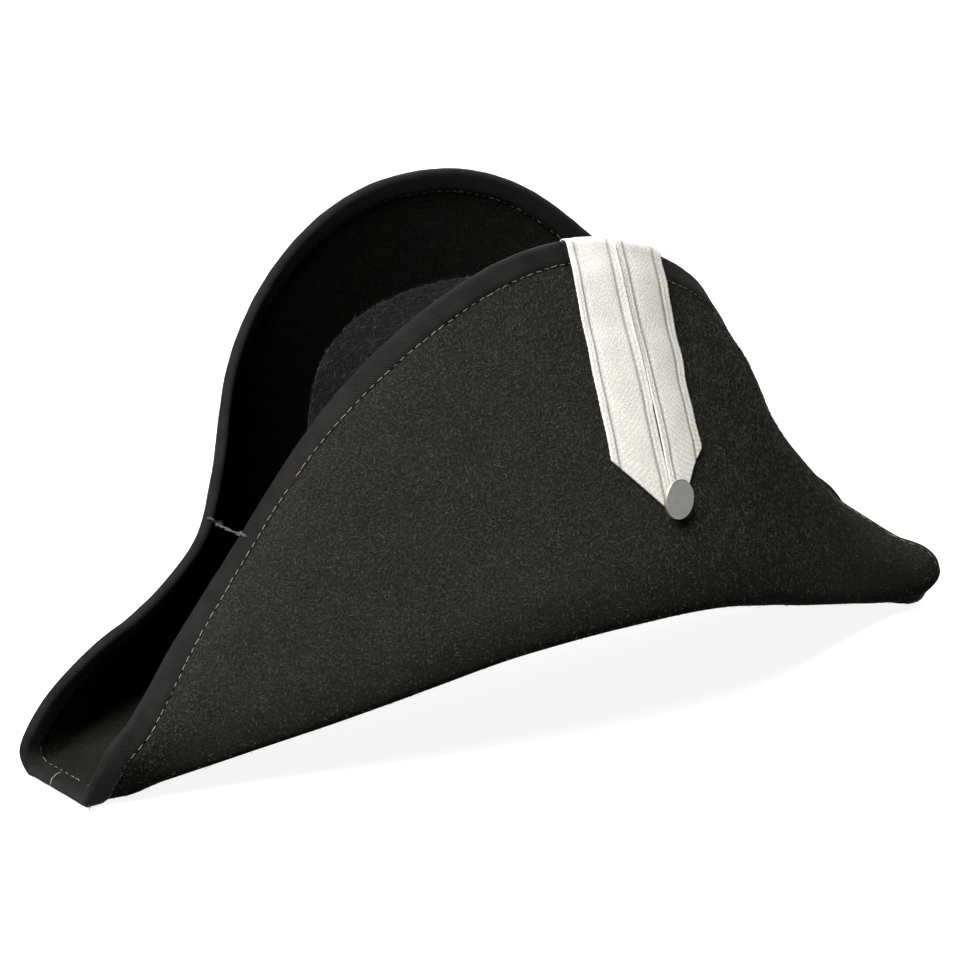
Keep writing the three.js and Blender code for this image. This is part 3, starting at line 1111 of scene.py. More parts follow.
@dataclass(frozen=True)
class MetalFinish(Finish):
    """Satin metal with a faintly uneven polish and a painted highlight on its rim.

    Attributes:
        edge: The colour of the painted highlight on the rim.
        uneven: How much the roughness varies.
    """

    edge: Colour = (0.6, 0.555, 0.47, 1)
    uneven: float = 0.12

    def dress(self, nodes: Nodes) -> None:
        """Adds the uneven polish and the painted highlight on the rim."""
        # Painted highlight: the button's rim is painted a light cream.
        painted_light = nodes.within(nodes.parts(nodes.cloth())[1], 0.0, MM)
        nodes.set(nodes.shader.inputs["Base Color"], nodes.mix(painted_light, self.colour, self.edge))
        places = nodes.space()
        cloud = nodes.cloud(places, 260.0, 4.0)
        rough = nodes.math("MULTIPLY_ADD", cloud, self.uneven, self.roughness - self.uneven / 2)
        nodes.give({"Metallic": 1.0})
        nodes.set(nodes.shader.inputs["Roughness"], rough)
        nodes.bump(nodes.noise(places, 1500.0, 3.0), 0.00002, 0.4)


FELT_BLACK = FeltFinish("felt_black", Slot.FELT, (0.0148, 0.0151, 0.0124, 1), 0.95)
# Painted shade: the crown's felt is a darker copy of the brim's felt.
FELT_CROWN_SHADED = FeltFinish("felt_crown_painted_shade", Slot.FELT, (0.0034, 0.0034, 0.0033, 1), 0.95)
NAP_LIGHT = YarnFinish("nap_light", Slot.FELT, (0.098, 0.1, 0.083, 1), 0.8)
# Painted shade: a darker copy of the nap, for the inside of the brim and the crown.
NAP_SHADED = YarnFinish("nap_painted_shade", Slot.FELT, (0.025, 0.0253, 0.024, 1), 0.8)
TAPE_BLACK = TwillFinish("tape_black", Slot.TAPE, (0.0165, 0.0157, 0.0151, 1), 0.7)
STITCH_BEIGE = YarnFinish("stitch_beige", Slot.TAPE, (0.30, 0.275, 0.225, 1), 0.7)
BRAID_WHITE = BraidFinish("braid_white", Slot.BRAID, (0.81, 0.783, 0.722, 1), 0.6)
PEWTER = MetalFinish("pewter_satin", Slot.PEWTER, (0.222, 0.222, 0.213, 1), 0.5)
THREAD_GREY = YarnFinish("thread_grey", Slot.THREAD, (0.068, 0.0672, 0.065, 1), 0.8)


# ---- Parts of the hat ----
@dataclass(frozen=True)
class Waviness:
    """Slight unevenness of a hand-formed surface.

    Attributes:
        height: The greatest departure from the true surface.
        length: The length of the waves.
        seed: What the waves are drawn from.
        count: How many waves are laid over one another.
    """

    height: float
    length: float
    seed: int
    count: int = 6

    def at(self, points: Array) -> Array:
        """Finds how far each point departs from the true surface.

        Args:
            points: The points.

        Returns:
            One distance a point.
        """
        random = np.random.default_rng(self.seed)
        total = np.zeros(points.shape[:-1])
        for _ in range(self.count):
            direction = unit(random.normal(size=3)) * 2 * math.pi / (self.length * random.uniform(0.6, 1.6))
            total += np.sin(points @ direction + random.uniform(0, 2 * math.pi))
        return total / self.count * self.height


# A fibre has a foot, a bend of three corners and a tip.
BEND = tuple((math.cos(turn), math.sin(turn)) for turn in (0.0, 2 * math.pi / 3, 4 * math.pi / 3))
SLIVER = ((0, 2, 1), (0, 3, 2), (0, 1, 3), (1, 2, 4), (2, 3, 4), (3, 1, 4))


@dataclass(frozen=True)
class Nap:
    """Loose fibres that lie on a felt surface, and here and there stand off it.

    Attributes:
        name: The piece's name.
        finish: What the fibres are dressed in.
        count: How many there are.
        length: Their mean length.
        radius: Half their width.
        rise: The steepest slope at which they stand up.
        seed: What they are drawn from.
        clear: How far their feet are off the felt.
        slope: The slope at which even the flattest ones start.
        bend: How far they bend sideways, in radians.
    """

    name: str
    finish: Finish
    count: int
    length: float
    radius: float
    rise: float
    seed: int
    clear: float = 0.02
    slope: float = 0.12
    bend: float = 0.9

    def build(self, grid: Grid, weight: Array) -> bpy.types.Object:
        """Builds the fibres as thin closed slivers, each with one bend.

        Args:
            grid: The surface that they lie on.
            weight: How densely each row of quads carries them.

        Returns:
            The piece.
        """
        random = np.random.default_rng(self.seed)
        root, normal = grid.scatter(self.count, weight, random)
        size = (self.count, 1)
        along = unit(np.cross(normal, random.normal(size=(self.count, 3))))
        across = np.cross(normal, along)
        bend = random.normal(0, self.bend, size)
        step = self.length * random.uniform(0.4, 1.6, size) / 2
        rise = self.rise * random.uniform(0, 1, size) ** 3
        foot = root + normal * self.clear
        middle = foot + unit(along + normal * (rise + self.slope)) * step
        tip = middle + unit(along * np.cos(bend) + across * np.sin(bend) + normal * rise) * step
        fibre = [foot, *(middle + (across * c + normal * s) * self.radius for c, s in BEND), tip]
        faces = [tuple(f * len(fibre) + k for k in face) for f in range(self.count) for face in SLIVER]
        data = MeshData()
        vertices = np.stack(fibre, axis=1).reshape(-1, 3)
        data.add(vertices, faces, np.zeros((len(vertices), 2)))
        return data.build(self.name, self.finish)


NAP_FRONT = Nap("brim_nap_front", NAP_LIGHT, count=23500, length=2.1, radius=0.075, rise=0.5, seed=5)
NAP_BACK = Nap("brim_nap_back", NAP_LIGHT, count=20000, length=2.1, radius=0.075, rise=0.5, seed=9)
NAP_INSIDE = Nap("brim_nap_inside", NAP_SHADED, count=17000, length=2.1, radius=0.08, rise=0.5, seed=6)
NAP_CROWN = Nap("crown_nap", NAP_SHADED, count=17000, length=3.0, radius=0.08, rise=0.4, seed=7)
WISPS_CROWN = Nap("crown_wisps", NAP_LIGHT, count=900, length=4.0, radius=0.08, rise=0.6, seed=8)


@dataclass(frozen=True)
class Brim:
    """The felt brim.

    Attributes:
        shape: Its shape.
        waves: Its unevenness.
        calm_rows: Over how many rows it evens out before the tape.
        fold_nap: The share of its loose fibres that is left along the fold, as painted shade.
        tip_nap: The share that is left towards the right tip.
        tip_from: Where along X they start to thin out.
        tip_to: Where along X that share is reached.
    """

    shape: BrimShape
    waves: Waviness = Waviness(0.4, 46.0, 3)
    calm_rows: int = 3
    fold_nap: float = 0.2
    tip_nap: float = 0.4
    tip_from: float = 100.0
    tip_to: float = 190.0

    @cached_property
    def faces(self) -> dict[Side, Array]:
        """The points of the two faces, by station and row."""
        grid = self.shape.grid
        rows = grid.points.shape[1]
        tape = rows - 1 - self.shape.tape_rows
        calm = 1 - smoothstep(np.arange(rows), tape - self.calm_rows, tape)
        sway = self.waves.at(grid.points) * calm
        return {side: grid.offset(sway + side.value * HALF_FELT) for side in Side}

    @cached_property
    def from_fold(self) -> Array:
        """The distance of each point of the faces from the middle of the fold."""
        points = self.shape.grid.points
        steps = np.linalg.norm(np.diff(points, axis=1), axis=2)
        travel = np.concatenate([np.zeros((len(points), 1)), np.cumsum(steps, axis=1)], axis=1)
        middle = self.shape.floor_rows + self.shape.fold_rows // 2
        return np.abs(travel - travel[:, middle, None])

    def nap(self) -> None:
        """Builds the loose fibres of both faces."""
        outer, inner = self.faces[Side.OUTSIDE], self.faces[Side.INSIDE][:, ::-1]
        rows = outer.shape[1] - 1
        bare = np.arange(rows) < rows - self.shape.tape_rows
        # Painted shade: fewer light fibres along the fold.
        painted_light = lerp(self.fold_nap, 1.0, smoothstep(self.from_fold[:, :-1], 0, FOLD_SHADE_REACH))
        # Fewer loose fibres towards the right tip.
        tip_thinned = lerp(1.0, self.tip_nap, smoothstep(outer[:, :-1, 0], self.tip_from, self.tip_to))
        dense = bare * painted_light * tip_thinned
        front = np.cos(2 * math.pi * self.shape.stations)[:, None] > 0
        NAP_FRONT.build(Grid.of(outer), dense * front)
        NAP_BACK.build(Grid.of(outer), dense * ~front)
        NAP_INSIDE.build(Grid.of(inner), 1.0 * bare[::-1])

    def build(self) -> bpy.types.Object:
        """Builds the brim as one closed shell of felt.

        Returns:
            The piece.
        """
        outer, inner = self.faces[Side.OUTSIDE], self.faces[Side.INSIDE]
        across = np.concatenate([outer, inner[:, ::-1]], axis=1)
        # Painted shade: the outside darkens towards the fold, and the inside is darker all over.
        inside_shade_distance = np.minimum(self.from_fold[:, ::-1], INSIDE_SHADE_REACH)
        away = np.concatenate([self.from_fold, inside_shade_distance], axis=1)
        travel = self.shape.travel[:-1, None]
        data = MeshData()
        data.add_grid(across, np.stack(np.broadcast_arrays(travel, away), axis=2), (True, True))
        return data.build("brim_felt", FELT_BLACK, ("brim",))


@dataclass(frozen=True)
class Crown:
    """The felt crown.

    Attributes:
        shape: The shape of the brim that it stands in.
        stations: How finely it is cut round.
        rings: How finely it is cut up.
        waves: Its unevenness.
        calm: Up to which height it is even.
        uneven: From which height on it is fully uneven.
        core: The height of the point that the unevenness moves its faces to and from.
        bare_rings: Up to which ring it has no loose fibres.
        full_rings: From which ring on it has all of them.
    """

    shape: BrimShape
    stations: int = 180
    rings: int = 56
    waves: Waviness = Waviness(0.7, 38.0, 11)
    calm: float = 66.0
    uneven: float = 82.0
    core: float = 110.0
    bare_rings: int = 6
    full_rings: int = 12

    def face(self, wall: float) -> Array:
        """Finds the points of one face.

        Args:
            wall: How far the face lies inside the outer one.

        Returns:
            Points by station and ring.
        """
        table = np.array(CROWN, float)
        share = np.linspace(0, 1, self.rings)
        curve = Spline(table[:, :3]).at(share)
        backs = Spline(table[:, [0, 1, 3]]).at(share)[:, 2]
        height, side = np.minimum(curve[:, 0], table[-1, 0]), np.maximum(curve[:, 1], 0)
        angle = np.arange(self.stations)[:, None] * 2 * math.pi / self.stations
        depth = np.where(np.sin(angle) < 0, np.maximum(curve[:, 2], 0), np.maximum(backs, 0))
        drop = FOLD[0].z - self.shape.floor_height(CROWN[0].side * np.cos(angle))
        sag = drop * np.maximum(0, 1 - height / CROWN_LEVEL)
        roof = wall * (height / table[-1, 0]) ** 3
        x = (side - np.minimum(wall, side)) * np.cos(angle)
        y = (depth - np.minimum(wall, depth)) * np.sin(angle)
        z = FOLD[0].z - HALF_FELT + height - sag - roof
        return np.stack(np.broadcast_arrays(x, y, z), axis=2)

    @cached_property
    def sway(self) -> Array:
        """How far each point of the faces departs from the true shape."""
        outer = self.face(0.0)
        share = smoothstep(outer[..., 2], self.calm, self.uneven)
        return unit(outer - (0.0, 0.0, self.core)) * (self.waves.at(outer) * share)[..., None]

    def nap(self) -> None:
        """Builds the loose fibres of the outer face."""
        weight = smoothstep(np.arange(self.rings - 1), self.bare_rings, self.full_rings)
        for nap in (NAP_CROWN, WISPS_CROWN):
            nap.build(Grid.of(self.face(0.0) + self.sway), weight)

    def build(self) -> bpy.types.Object:
        """Builds the crown as one closed shell of felt.

        Returns:
            The piece.
        """
        outer, inner = self.face(0.0) + self.sway, self.face(FELT) + self.sway
        across = np.concatenate([outer, inner[:, ::-1]], axis=1)
        data = MeshData()
        # The crown's texture places lie beyond the painted shade of the fold.
        data.add_grid(across, np.full(across.shape[:2] + (2,), FOLD_SHADE_REACH), (True, True))
        return data.build("crown_felt", FELT_CROWN_SHADED, ("crown",))


@dataclass(frozen=True)
class Binding:
    """The tape that is bound over the brim's edge.

    Attributes:
        shape: The shape of the brim.
        rim_steps: How finely it turns round the edge.
        pucker: How much the seam draws it in.
    """

    shape: BrimShape
    rim_steps: int = 12
    pucker: Waviness = Waviness(0.16, 9.0, 23)

    def wrap(self, edge: float, distance: float) -> Array:
        """Finds the points of one face of the tape.

        Args:
            edge: How far it lies off the brim's middle surface at the tape's own edges.
            distance: How far it lies off over the rest of its width.

        Returns:
            Points by station and row, up the outside, round the edge and down the inside.
        """
        grid, rows = self.shape.grid, self.shape.tape_rows
        inward = self.shape.frames(self.shape.stations).inward
        sway = self.pucker.at(grid.points)
        last = grid.points.shape[1] - 1
        band = slice(last - rows, last)
        down = (last - np.arange(last + 1)) * TAPE_REACH / rows
        off = drawn_in(edge, distance, down) + sway
        outer, inner = grid.offset(off)[:, band], grid.offset(-off)[:, band]
        turn = np.linspace(0, math.pi, self.rim_steps + 1)
        reach = distance + sway[:, last]
        rim = (
            grid.points[:, last, None]
            + grid.normals[:, last, None] * (np.cos(turn)[None, :] * reach[:, None])[..., None]
            - inward[:, None] * (np.sin(turn)[None, :] * reach[:, None])[..., None]
        )
        return np.concatenate([outer, rim, inner[:, ::-1]], axis=1)

    def build(self) -> bpy.types.Object:
        """Builds the tape as one closed shell.

        Returns:
            The piece.
        """
        outer = self.wrap(HALF_FELT + TAPE_EDGE, TAPE_OUTSIDE)
        inner = self.wrap(HALF_FELT + TAPE_SEAT, TAPE_INSIDE)
        across = np.concatenate([outer, inner[:, ::-1]], axis=1)
        steps = np.linalg.norm(np.diff(outer, axis=1), axis=2).mean(axis=0)
        width = np.concatenate([[0], np.cumsum(steps)])
        width = np.concatenate([width, width[::-1]])
        travel = self.shape.travel[:-1]
        places = np.stack(np.broadcast_arrays(travel[:, None], width[None, :]), axis=2)
        data = MeshData()
        data.add_grid(across, places, (True, True))
        return data.build("binding_tape", TAPE_BLACK, ("binding",))


@dataclass(frozen=True)
class Stitching:
    """The seam that holds the tape, showing on both faces.

    Attributes:
        shape: The shape of the brim.
        pitch: Distance from stitch to stitch.
        share: How much of the pitch a stitch covers.
        radius: Radius of the thread.
        margin: Distance of the seam from the tape's own edge.
        wander: How far the seam wanders to each side.
        stray: How far a single stitch strays from it.
        slant: How far a stitch's ends lie askew.
        arch: How far a stitch stands off the tape along its length, in radii.
        sides: How many sides the thread has.
        seed: What the small differences are drawn from.
    """

    shape: BrimShape
    pitch: float = 4.6
    share: float = 0.94
    radius: float = 0.13
    margin: float = 0.45
    wander: float = 0.25
    stray: float = 0.08
    slant: float = 0.12
    arch: tuple[float, ...] = (-1.2, 0.6, 0.9, 0.6, -1.2)
    sides: int = 6
    seed: int = 41

    def seam(self, data: MeshData, side: Side, random: np.random.Generator) -> None:
        """Adds the stitches of one face.

        Args:
            data: The mesh to add them to.
            side: The face.
            random: What their small differences are drawn from.
        """
        around = self.shape.travel[-1]
        count = int(around / self.pitch)
        steps = len(self.arch)
        for k in range(count):
            middle = (k + 0.5) * around / count
            half = self.pitch * self.share * random.uniform(0.44, 0.54)
            down = TAPE_REACH - self.margin + self.wander * math.sin(middle / 37)
            down += random.normal(0, self.stray)
            at = middle + np.linspace(-half, half, steps)
            sunk = self.radius * random.uniform(0.0, 0.7)
            lift = drawn_in(HALF_FELT + TAPE_EDGE, TAPE_OUTSIDE, down) - sunk
            lift = lift + self.radius * np.array(self.arch)
            askew = np.linspace(-self.slant, self.slant, steps) * random.normal(0, 1)
            line = self.shape.on_tape(at, down + askew, side.value * lift)
            data.add_tube(line, self.radius, self.sides)

    def build(self) -> bpy.types.Object:
        """Builds the seam.

        Returns:
            The piece.
        """
        random = np.random.default_rng(self.seed)
        data = MeshData()
        for side in Side:
            self.seam(data, side, random)
        return data.build("binding_seam", STITCH_BEIGE)


def both_faces(points: Array, way: Array, low: Array, high: Array) -> tuple[Array, Array]:
    """Returns the points moved along a way by the low distances, and by the high ones."""
    return points + way * low[:, None], points + way * high[:, None]


@dataclass(frozen=True)
class StrapRun:
    """One run of the braid strap.

    Attributes:
        name: The piece's name.
        node: The CAD node that it stands for.
        flap: The flap that it lies on.
        side: 1 for the right run, -1 for the left one.
        outer_x: Where its outer edge lies.
        lap: How far it stands over the other run at the seam.
        rise: How far its outer edge stands up where it goes over the bound edge.
        waver: How far its outer edge wavers.
        wall: Its thickness.
        middle: Where the seam between the runs lies.
        point_z: The height of its point, at the seam.
        tuck: How far it runs down behind the flap.
        slit: How far the runs stand apart where they are not sewn together.
        slit_low: The height at which they start to part.
        slit_high: The height at which they meet again.
        seam_gap: How far they stand apart where they are sewn together.
        slant: How far the seam leans over at the top.
        selvage: The width of its selvages.
        fine: How many columns it has over each selvage.
        coarse: How many columns it has between the selvages.
        rows: How finely it is cut along the flap.
    """

    name: str
    node: str
    flap: FrontFlap
    side: int
    outer_x: float
    lap: float
    rise: float
    waver: float
    wall: float = 1.0
    middle: float = 31.5
    point_z: float = 97.5
    tuck: float = 14.0
    slit: float = 0.5
    slit_low: float = 118.0
    slit_high: float = 147.0
    seam_gap: float = 0.12
    slant: float = 3.2
    selvage: float = 4.4
    fine: int = 15
    coarse: int = 16
    rows: int = 120

    @cached_property
    def share(self) -> Array:
        """The columns' places across the run, from 0 outside to 1 at the seam."""
        band = self.selvage / abs(self.middle - self.outer_x) * 1.25
        edge = np.linspace(0, band, self.fine)
        centre = np.linspace(band, 1 - band, self.coarse + 2)[1:-1]
        return np.concatenate([edge, centre, 1 - edge[::-1]])

    @cached_property
    def x(self) -> Array:
        """Where each column's section starts on the edge, before it is shifted."""
        return lerp(self.outer_x, self.middle, self.share)

    @cached_property
    def relief(self) -> Array:
        """The thickness across the braid: each selvage stands up between two fine ridges."""
        from_edge = np.minimum(self.share, 1 - self.share) * abs(self.middle - self.outer_x)
        ridges = 0.16 * np.exp(-(((from_edge - self.selvage + 1.1) / 0.6) ** 2))
        ridges += 0.14 * np.exp(-(((from_edge - 0.8) / 0.7) ** 2))
        groove = 0.38 * np.exp(-(((from_edge - self.selvage) / 0.95) ** 2))
        return self.wall - 0.2 + ridges - groove

    def lying(self, down: Array) -> tuple[Array, Array]:
        """Finds how the braid lies: flat over the bound edge, and down on the felt below the tape.

        Args:
            down: Distances down from the felt's edge.

        Returns:
            How far the inner face is off the flap's middle surface, and how thick the braid is.
        """
        free = smoothstep(down, 2, 16)
        on_felt = smoothstep(down, TAPE_REACH + 1.5, TAPE_REACH + 32)
        low = lerp(TAPE_OUTSIDE, HALF_FELT, on_felt) + lerp(0.6, 1.2, free) * GAP
        return low, self.relief * lerp(0.6, 1.0, free)

    def shifted(self, z: Array, travel: Array) -> Array:
        """Finds where each column's section starts, with the slit, the slant seam and the wavy edge.

        Args:
            z: The heights of the columns' points.
            travel: Their distances down from the felt's edge.

        Returns:
            The places along X.
        """
        parted = self.slit * smoothstep(z, self.slit_low, self.slit_low + 12)
        parted = self.seam_gap + parted * (1 - smoothstep(z, self.slit_high - 3, self.slit_high))
        slant = self.slant * smoothstep(z, 150, 205)
        moved = self.x + self.side * self.share * parted - slant * self.share
        wave = np.sin(travel / 6.1 + 0.6) + 0.6 * np.sin(travel / 3.3)
        sway = self.waver * wave + 0.09 * np.sin(travel * 2.3 + self.x)
        return moved + (1 - self.share) * sway * smoothstep(travel, 4, 20)

    def laid(self, down: Array) -> tuple[Array, Array]:
        """Lays a row on the outside of the flap.

        Args:
            down: Distances down from the felt's edge.

        Returns:
            The points of the inner face and of the outer one.
        """
        height = self.flap.at(self.x, down).point[:, 2]
        place = self.flap.at(self.shifted(height, down), down)
        low, thick = self.lying(down)
        low = low + self.lap * smoothstep(self.share, 0.8, 1.0) * smoothstep(place.point[:, 2], 150, 175)
        return both_faces(place.point, place.normal, low, low + thick)

    def turned(self) -> list[tuple[Array, Array]]:
        """Lays the rows up behind the flap and over its bound edge.

        Returns:
            Row by row, the points of the inner face and of the outer one.
        """
        zero = np.zeros(len(self.x))
        low, thick = self.lying(zero)
        high = low + thick
        top = self.shifted(self.flap.at(self.x, zero).point[:, 2], zero)
        rows = []
        for down in np.linspace(self.tuck, 1.0, 8):
            place = self.flap.at(top, zero + down)
            rows.append(both_faces(place.point, -place.normal, low, high))
        place = self.flap.at(top, zero)
        peak = self.rise * (1 - smoothstep(self.share, 0, 0.9))
        for turn in np.linspace(math.pi, 0, 13):
            way = place.normal * math.cos(turn) - place.inward * math.sin(turn)
            crest = place.point - place.inward * (peak * math.sin(turn))[:, None]
            rows.append(both_faces(crest, way, low, high))
        return rows

    def build(self) -> bpy.types.Object:
        """Builds the run: a tuck behind the flap, over the edge, and down to the mitre.

        Returns:
            The piece.
        """
        zero = np.zeros(len(self.x))
        length = self.flap.down_to(self.x, self.point_z + np.abs(self.x - self.middle))
        start = TAPE_REACH + 8
        rows = self.turned()
        rows += [self.laid(zero + down) for down in np.linspace(1.0, start, 14)]
        rows += [self.laid(lerp(zero + start, length, step)) for step in np.linspace(0, 1, self.rows)[1:]]
        inner, outer = (np.stack(face) for face in zip(*rows, strict=True))
        steps = np.linalg.norm(np.diff(outer[:, 0], axis=0), axis=1)
        travel = np.concatenate([[0], np.cumsum(steps)])[:, None]
        places = np.stack(np.broadcast_arrays(self.x, travel), axis=2)
        around = np.concatenate([outer, inner[:, ::-1]], axis=1)
        places = np.concatenate([places, places[:, ::-1]], axis=1)
        if self.side > 0:
            around, places = around[:, ::-1], places[:, ::-1]
        data = MeshData()
        data.add_grid(around, places, (False, True))
        size = around.shape[1]
        last = (around.shape[0] - 1) * size
        for k in range(size // 2 - 1):
            end = (k, k + 1, size - 2 - k, size - 1 - k)
            data.faces.append(end)
            data.faces.append(tuple(last + v for v in reversed(end)))
        return data.build(self.name, BRAID_WHITE, (self.node,))


@dataclass(frozen=True)
class Button:
    """The flat metal button on its shank.

    Attributes:
        flap: The flap that it is sewn to.
        x: Where its shank stands along X.
        z: The height of its shank's foot.
        radius: Its radius.
        wall: Its thickness.
        bevel: The radius of its rounded edges.
        border: The width of the border round its face.
        dish: How deep the face is inside the border.
        core: The radius of the flat faces that close its back and its face in the middle.
        stand_off: How far its back is off the shank's foot.
        tilt: How far it hangs over, in degrees.
        shank: The radius of its shank.
        sides: How finely it is cut round.
    """

    flap: FrontFlap
    x: float = 31.0
    z: float = 106.0
    radius: float = 9.0
    wall: float = 2.0
    bevel: float = 0.35
    border: float = 0.8
    dish: float = 0.04
    core: float = 0.01
    stand_off: float = 3.4
    tilt: float = 14.0
    shank: float = 1.0
    sides: int = 96

    def profile(self) -> Array:
        """Draws the half-section, from the shank's foot to the middle of the face.

        Returns:
            Its points, as distances from the axis and heights along it.
        """
        turn = np.linspace(0, math.pi / 2, 7)
        low, high = self.bevel * (1 - np.sin(turn)), self.bevel * (1 - np.cos(turn))
        top = self.stand_off + self.wall
        foot = [(self.core, 0), (self.shank, 0), (self.shank, self.stand_off)]
        back = np.stack([self.radius - low, self.stand_off + high], axis=1)
        face = np.stack([self.radius - high, top - low], axis=1)
        inside = self.radius - self.border
        reach = np.linspace(inside, self.core, 14)
        dish = np.stack([reach, top - self.dish * smoothstep(inside - reach, 0, 3.0)], axis=1)
        return np.vstack([foot, back, face, dish])

    def build(self) -> bpy.types.Object:
        """Builds the button, a little tilted as it hangs.

        Returns:
            The piece.
        """
        x = np.array([self.x])
        place = self.flap.at(x, self.flap.down_to(x, np.array([self.z])))
        point, normal = place.point[0], place.normal[0]
        droop = math.radians(self.tilt)
        c, s = math.cos(droop), math.sin(droop)
        axis = np.array([normal[0], c * normal[1] - s * normal[2], s * normal[1] + c * normal[2]])
        seat = point + normal * (HALF_FELT + GAP + self.shank * s)
        side = unit(np.cross(axis, (0.0, 0.0, 1.0)))
        up = np.cross(side, axis)
        angles = np.linspace(0, 2 * math.pi, self.sides, endpoint=False)[:, None]
        section = self.profile()
        ring = side * np.cos(angles) + up * np.sin(angles)
        points = seat + ring[:, None] * section[None, :, :1] + axis * section[None, :, 1:]
        # The rim is marked for its finish's painted highlight.
        painted_light = np.isclose(section[:, 0], self.radius)
        places = np.stack(np.broadcast_arrays(angles * 0, painted_light * 1.0), axis=2)
        data = MeshData()
        data.add_grid(points[::-1], places, (True, False))
        count = len(section)
        data.faces.append(tuple(k * count for k in range(self.sides)))
        data.faces.append(tuple(k * count + count - 1 for k in reversed(range(self.sides))))
        return data.build("button_metal", PEWTER, ("button",))


@dataclass(frozen=True)
class TieThread:
    """A twisted thread that ties the two flaps together at one side.

    Attributes:
        shape: The shape of the brim.
        side: 1 for the right thread, -1 for the left one.
        front_row: Where it goes over the front edge, in keys of the edge off the middle.
        back_row: Where it goes over the back edge, likewise.
        radius: The radius of each of its two strands.
        pitch: The length of a turn of the strands.
        knot_at: Where along it the knot is, as a share of its length.
        tuft: How many loose ends the knot has.
        frays: How many loose ends there are along the rest.
        steps: How finely it is cut along.
        seed: What the loose ends are drawn from.
    """

    shape: BrimShape
    side: int
    front_row: float = 5.9
    back_row: float = 5.75
    radius: float = 0.4
    pitch: float = 2.6
    knot_at: float = 0.617
    tuft: int = 34
    frays: int = 60
    steps: int = 260
    seed: int = 61

    def hook(self, place: float, downs: tuple[float, ...], turns: tuple[float, ...]) -> list[Array]:
        """Finds the thread's way over one edge of the brim.

        Args:
            place: Where the edge is, as a share of its length.
            downs: Distances down the outside at which the thread is held to the flap.
            turns: Angles round the edge at which it is held to the tape, in radians.

        Returns:
            Its points, from the outside of the brim to the inside.
        """
        frame = self.shape.frames(np.array([place % 1]))
        edge, normal, inward = frame.edge[0], frame.normal[0], frame.inward[0]
        lift = TAPE_OUTSIDE + 0.6 * self.radius
        line = [edge + inward * down + normal * lift for down in downs]
        line += [edge + normal * lift * math.cos(a) - inward * lift * math.sin(a) for a in turns]
        return [*line, edge + inward * 1.5 - normal * lift]

    def path(self) -> Array:
        """Lays the thread's middle line over both edges of the brim.

        Returns:
            One point a row.
        """
        keys = len(self.shape.keys)
        front = self.hook(1 + self.side * self.front_row / keys, (2.6, 1.2), (0.5, 1.2, 1.9, 2.6))
        back = self.hook(0.5 - self.side * self.back_row / keys, (), (1.4, 1.8, 2.2, 2.6))
        return Spline(np.array(front + back[::-1])).at(np.linspace(0, 1, self.steps))

    def build(self) -> bpy.types.Object:
        """Builds the thread as two strands laid round each other, with a frayed knot.

        Returns:
            The piece.
        """
        line = self.path()
        along = unit(np.gradient(line, axis=0))
        across = unit(np.cross(along, (0.0, 0.0, 1.0)))
        other = np.cross(along, across)
        travel = np.concatenate([[0], np.cumsum(np.linalg.norm(np.diff(line, axis=0), axis=1))])
        data = MeshData()
        for phase in (0.0, math.pi):
            turn = (travel * 2 * math.pi / self.pitch + phase)[:, None]
            twist = across * np.cos(turn) + other * np.sin(turn)
            data.add_tube(line + twist * self.radius * 0.9, self.radius, 6)
        random = np.random.default_rng(self.seed + self.side)
        knot = np.full(self.tuft, round(self.knot_at * len(line)))
        roots = np.concatenate([knot, random.integers(4, len(line) - 4, self.frays)])
        long, short = random.uniform(1.0, 2.8, self.tuft), random.uniform(0.6, 1.2, self.frays)
        ways = unit(random.normal(size=(len(roots), 3)) + (0.0, 0.0, 0.5))
        for root, reach, way in zip(line[roots], np.concatenate([long, short]), ways, strict=True):
            data.add_fray(root + way * np.linspace(0, reach, 4)[:, None], 0.12, 0.06, random)
        side = "right" if self.side > 0 else "left"
        return data.build("tie_thread_yarn_" + side, THREAD_GREY, ("tie_thread_" + side,))


@dataclass(frozen=True)
class LooseEnds:
    """Loose sewing thread at the left tip: a stitch across the tape and a frayed corner.

    Attributes:
        stitch: Points of the stitch, from the edge in.
        corner: Where the frayed corner is.
        frays: How many ends the corner has.
        radius: Radius of the thread.
        seed: What the frayed ends are drawn from.
    """

    stitch: tuple[tuple[float, float, float], ...] = (
        (-239.9, 3.8, 2.4),
        (-238.9, 4.4, 4.6),
        (-237.0, 5.4, 5.2),
        (-234.4, 7.2, 5.35),
        (-231.8, 8.2, 5.1),
    )
    corner: tuple[float, float, float] = (-238.6, -27.2, 1.3)
    frays: int = 9
    radius: float = 0.16
    seed: int = 77

    def build(self) -> bpy.types.Object:
        """Builds the stitch and the frayed ends.

        Returns:
            The piece.
        """
        random = np.random.default_rng(self.seed)
        data = MeshData()
        data.add_tube(Spline(np.array(self.stitch)).at(np.linspace(0, 1, 16)), self.radius, 6)
        root = np.array(self.corner)
        for way in unit(random.normal(size=(self.frays, 3)) * (0.6, 0.8, 0.5) + (-0.2, -0.5, 0.1)):
            place = np.linspace(0, random.uniform(0.8, 2.4), 4)[:, None]
            data.add_fray(root + way * place, 0.1, 0.07, random)
        return data.build("loose_ends", STITCH_BEIGE)


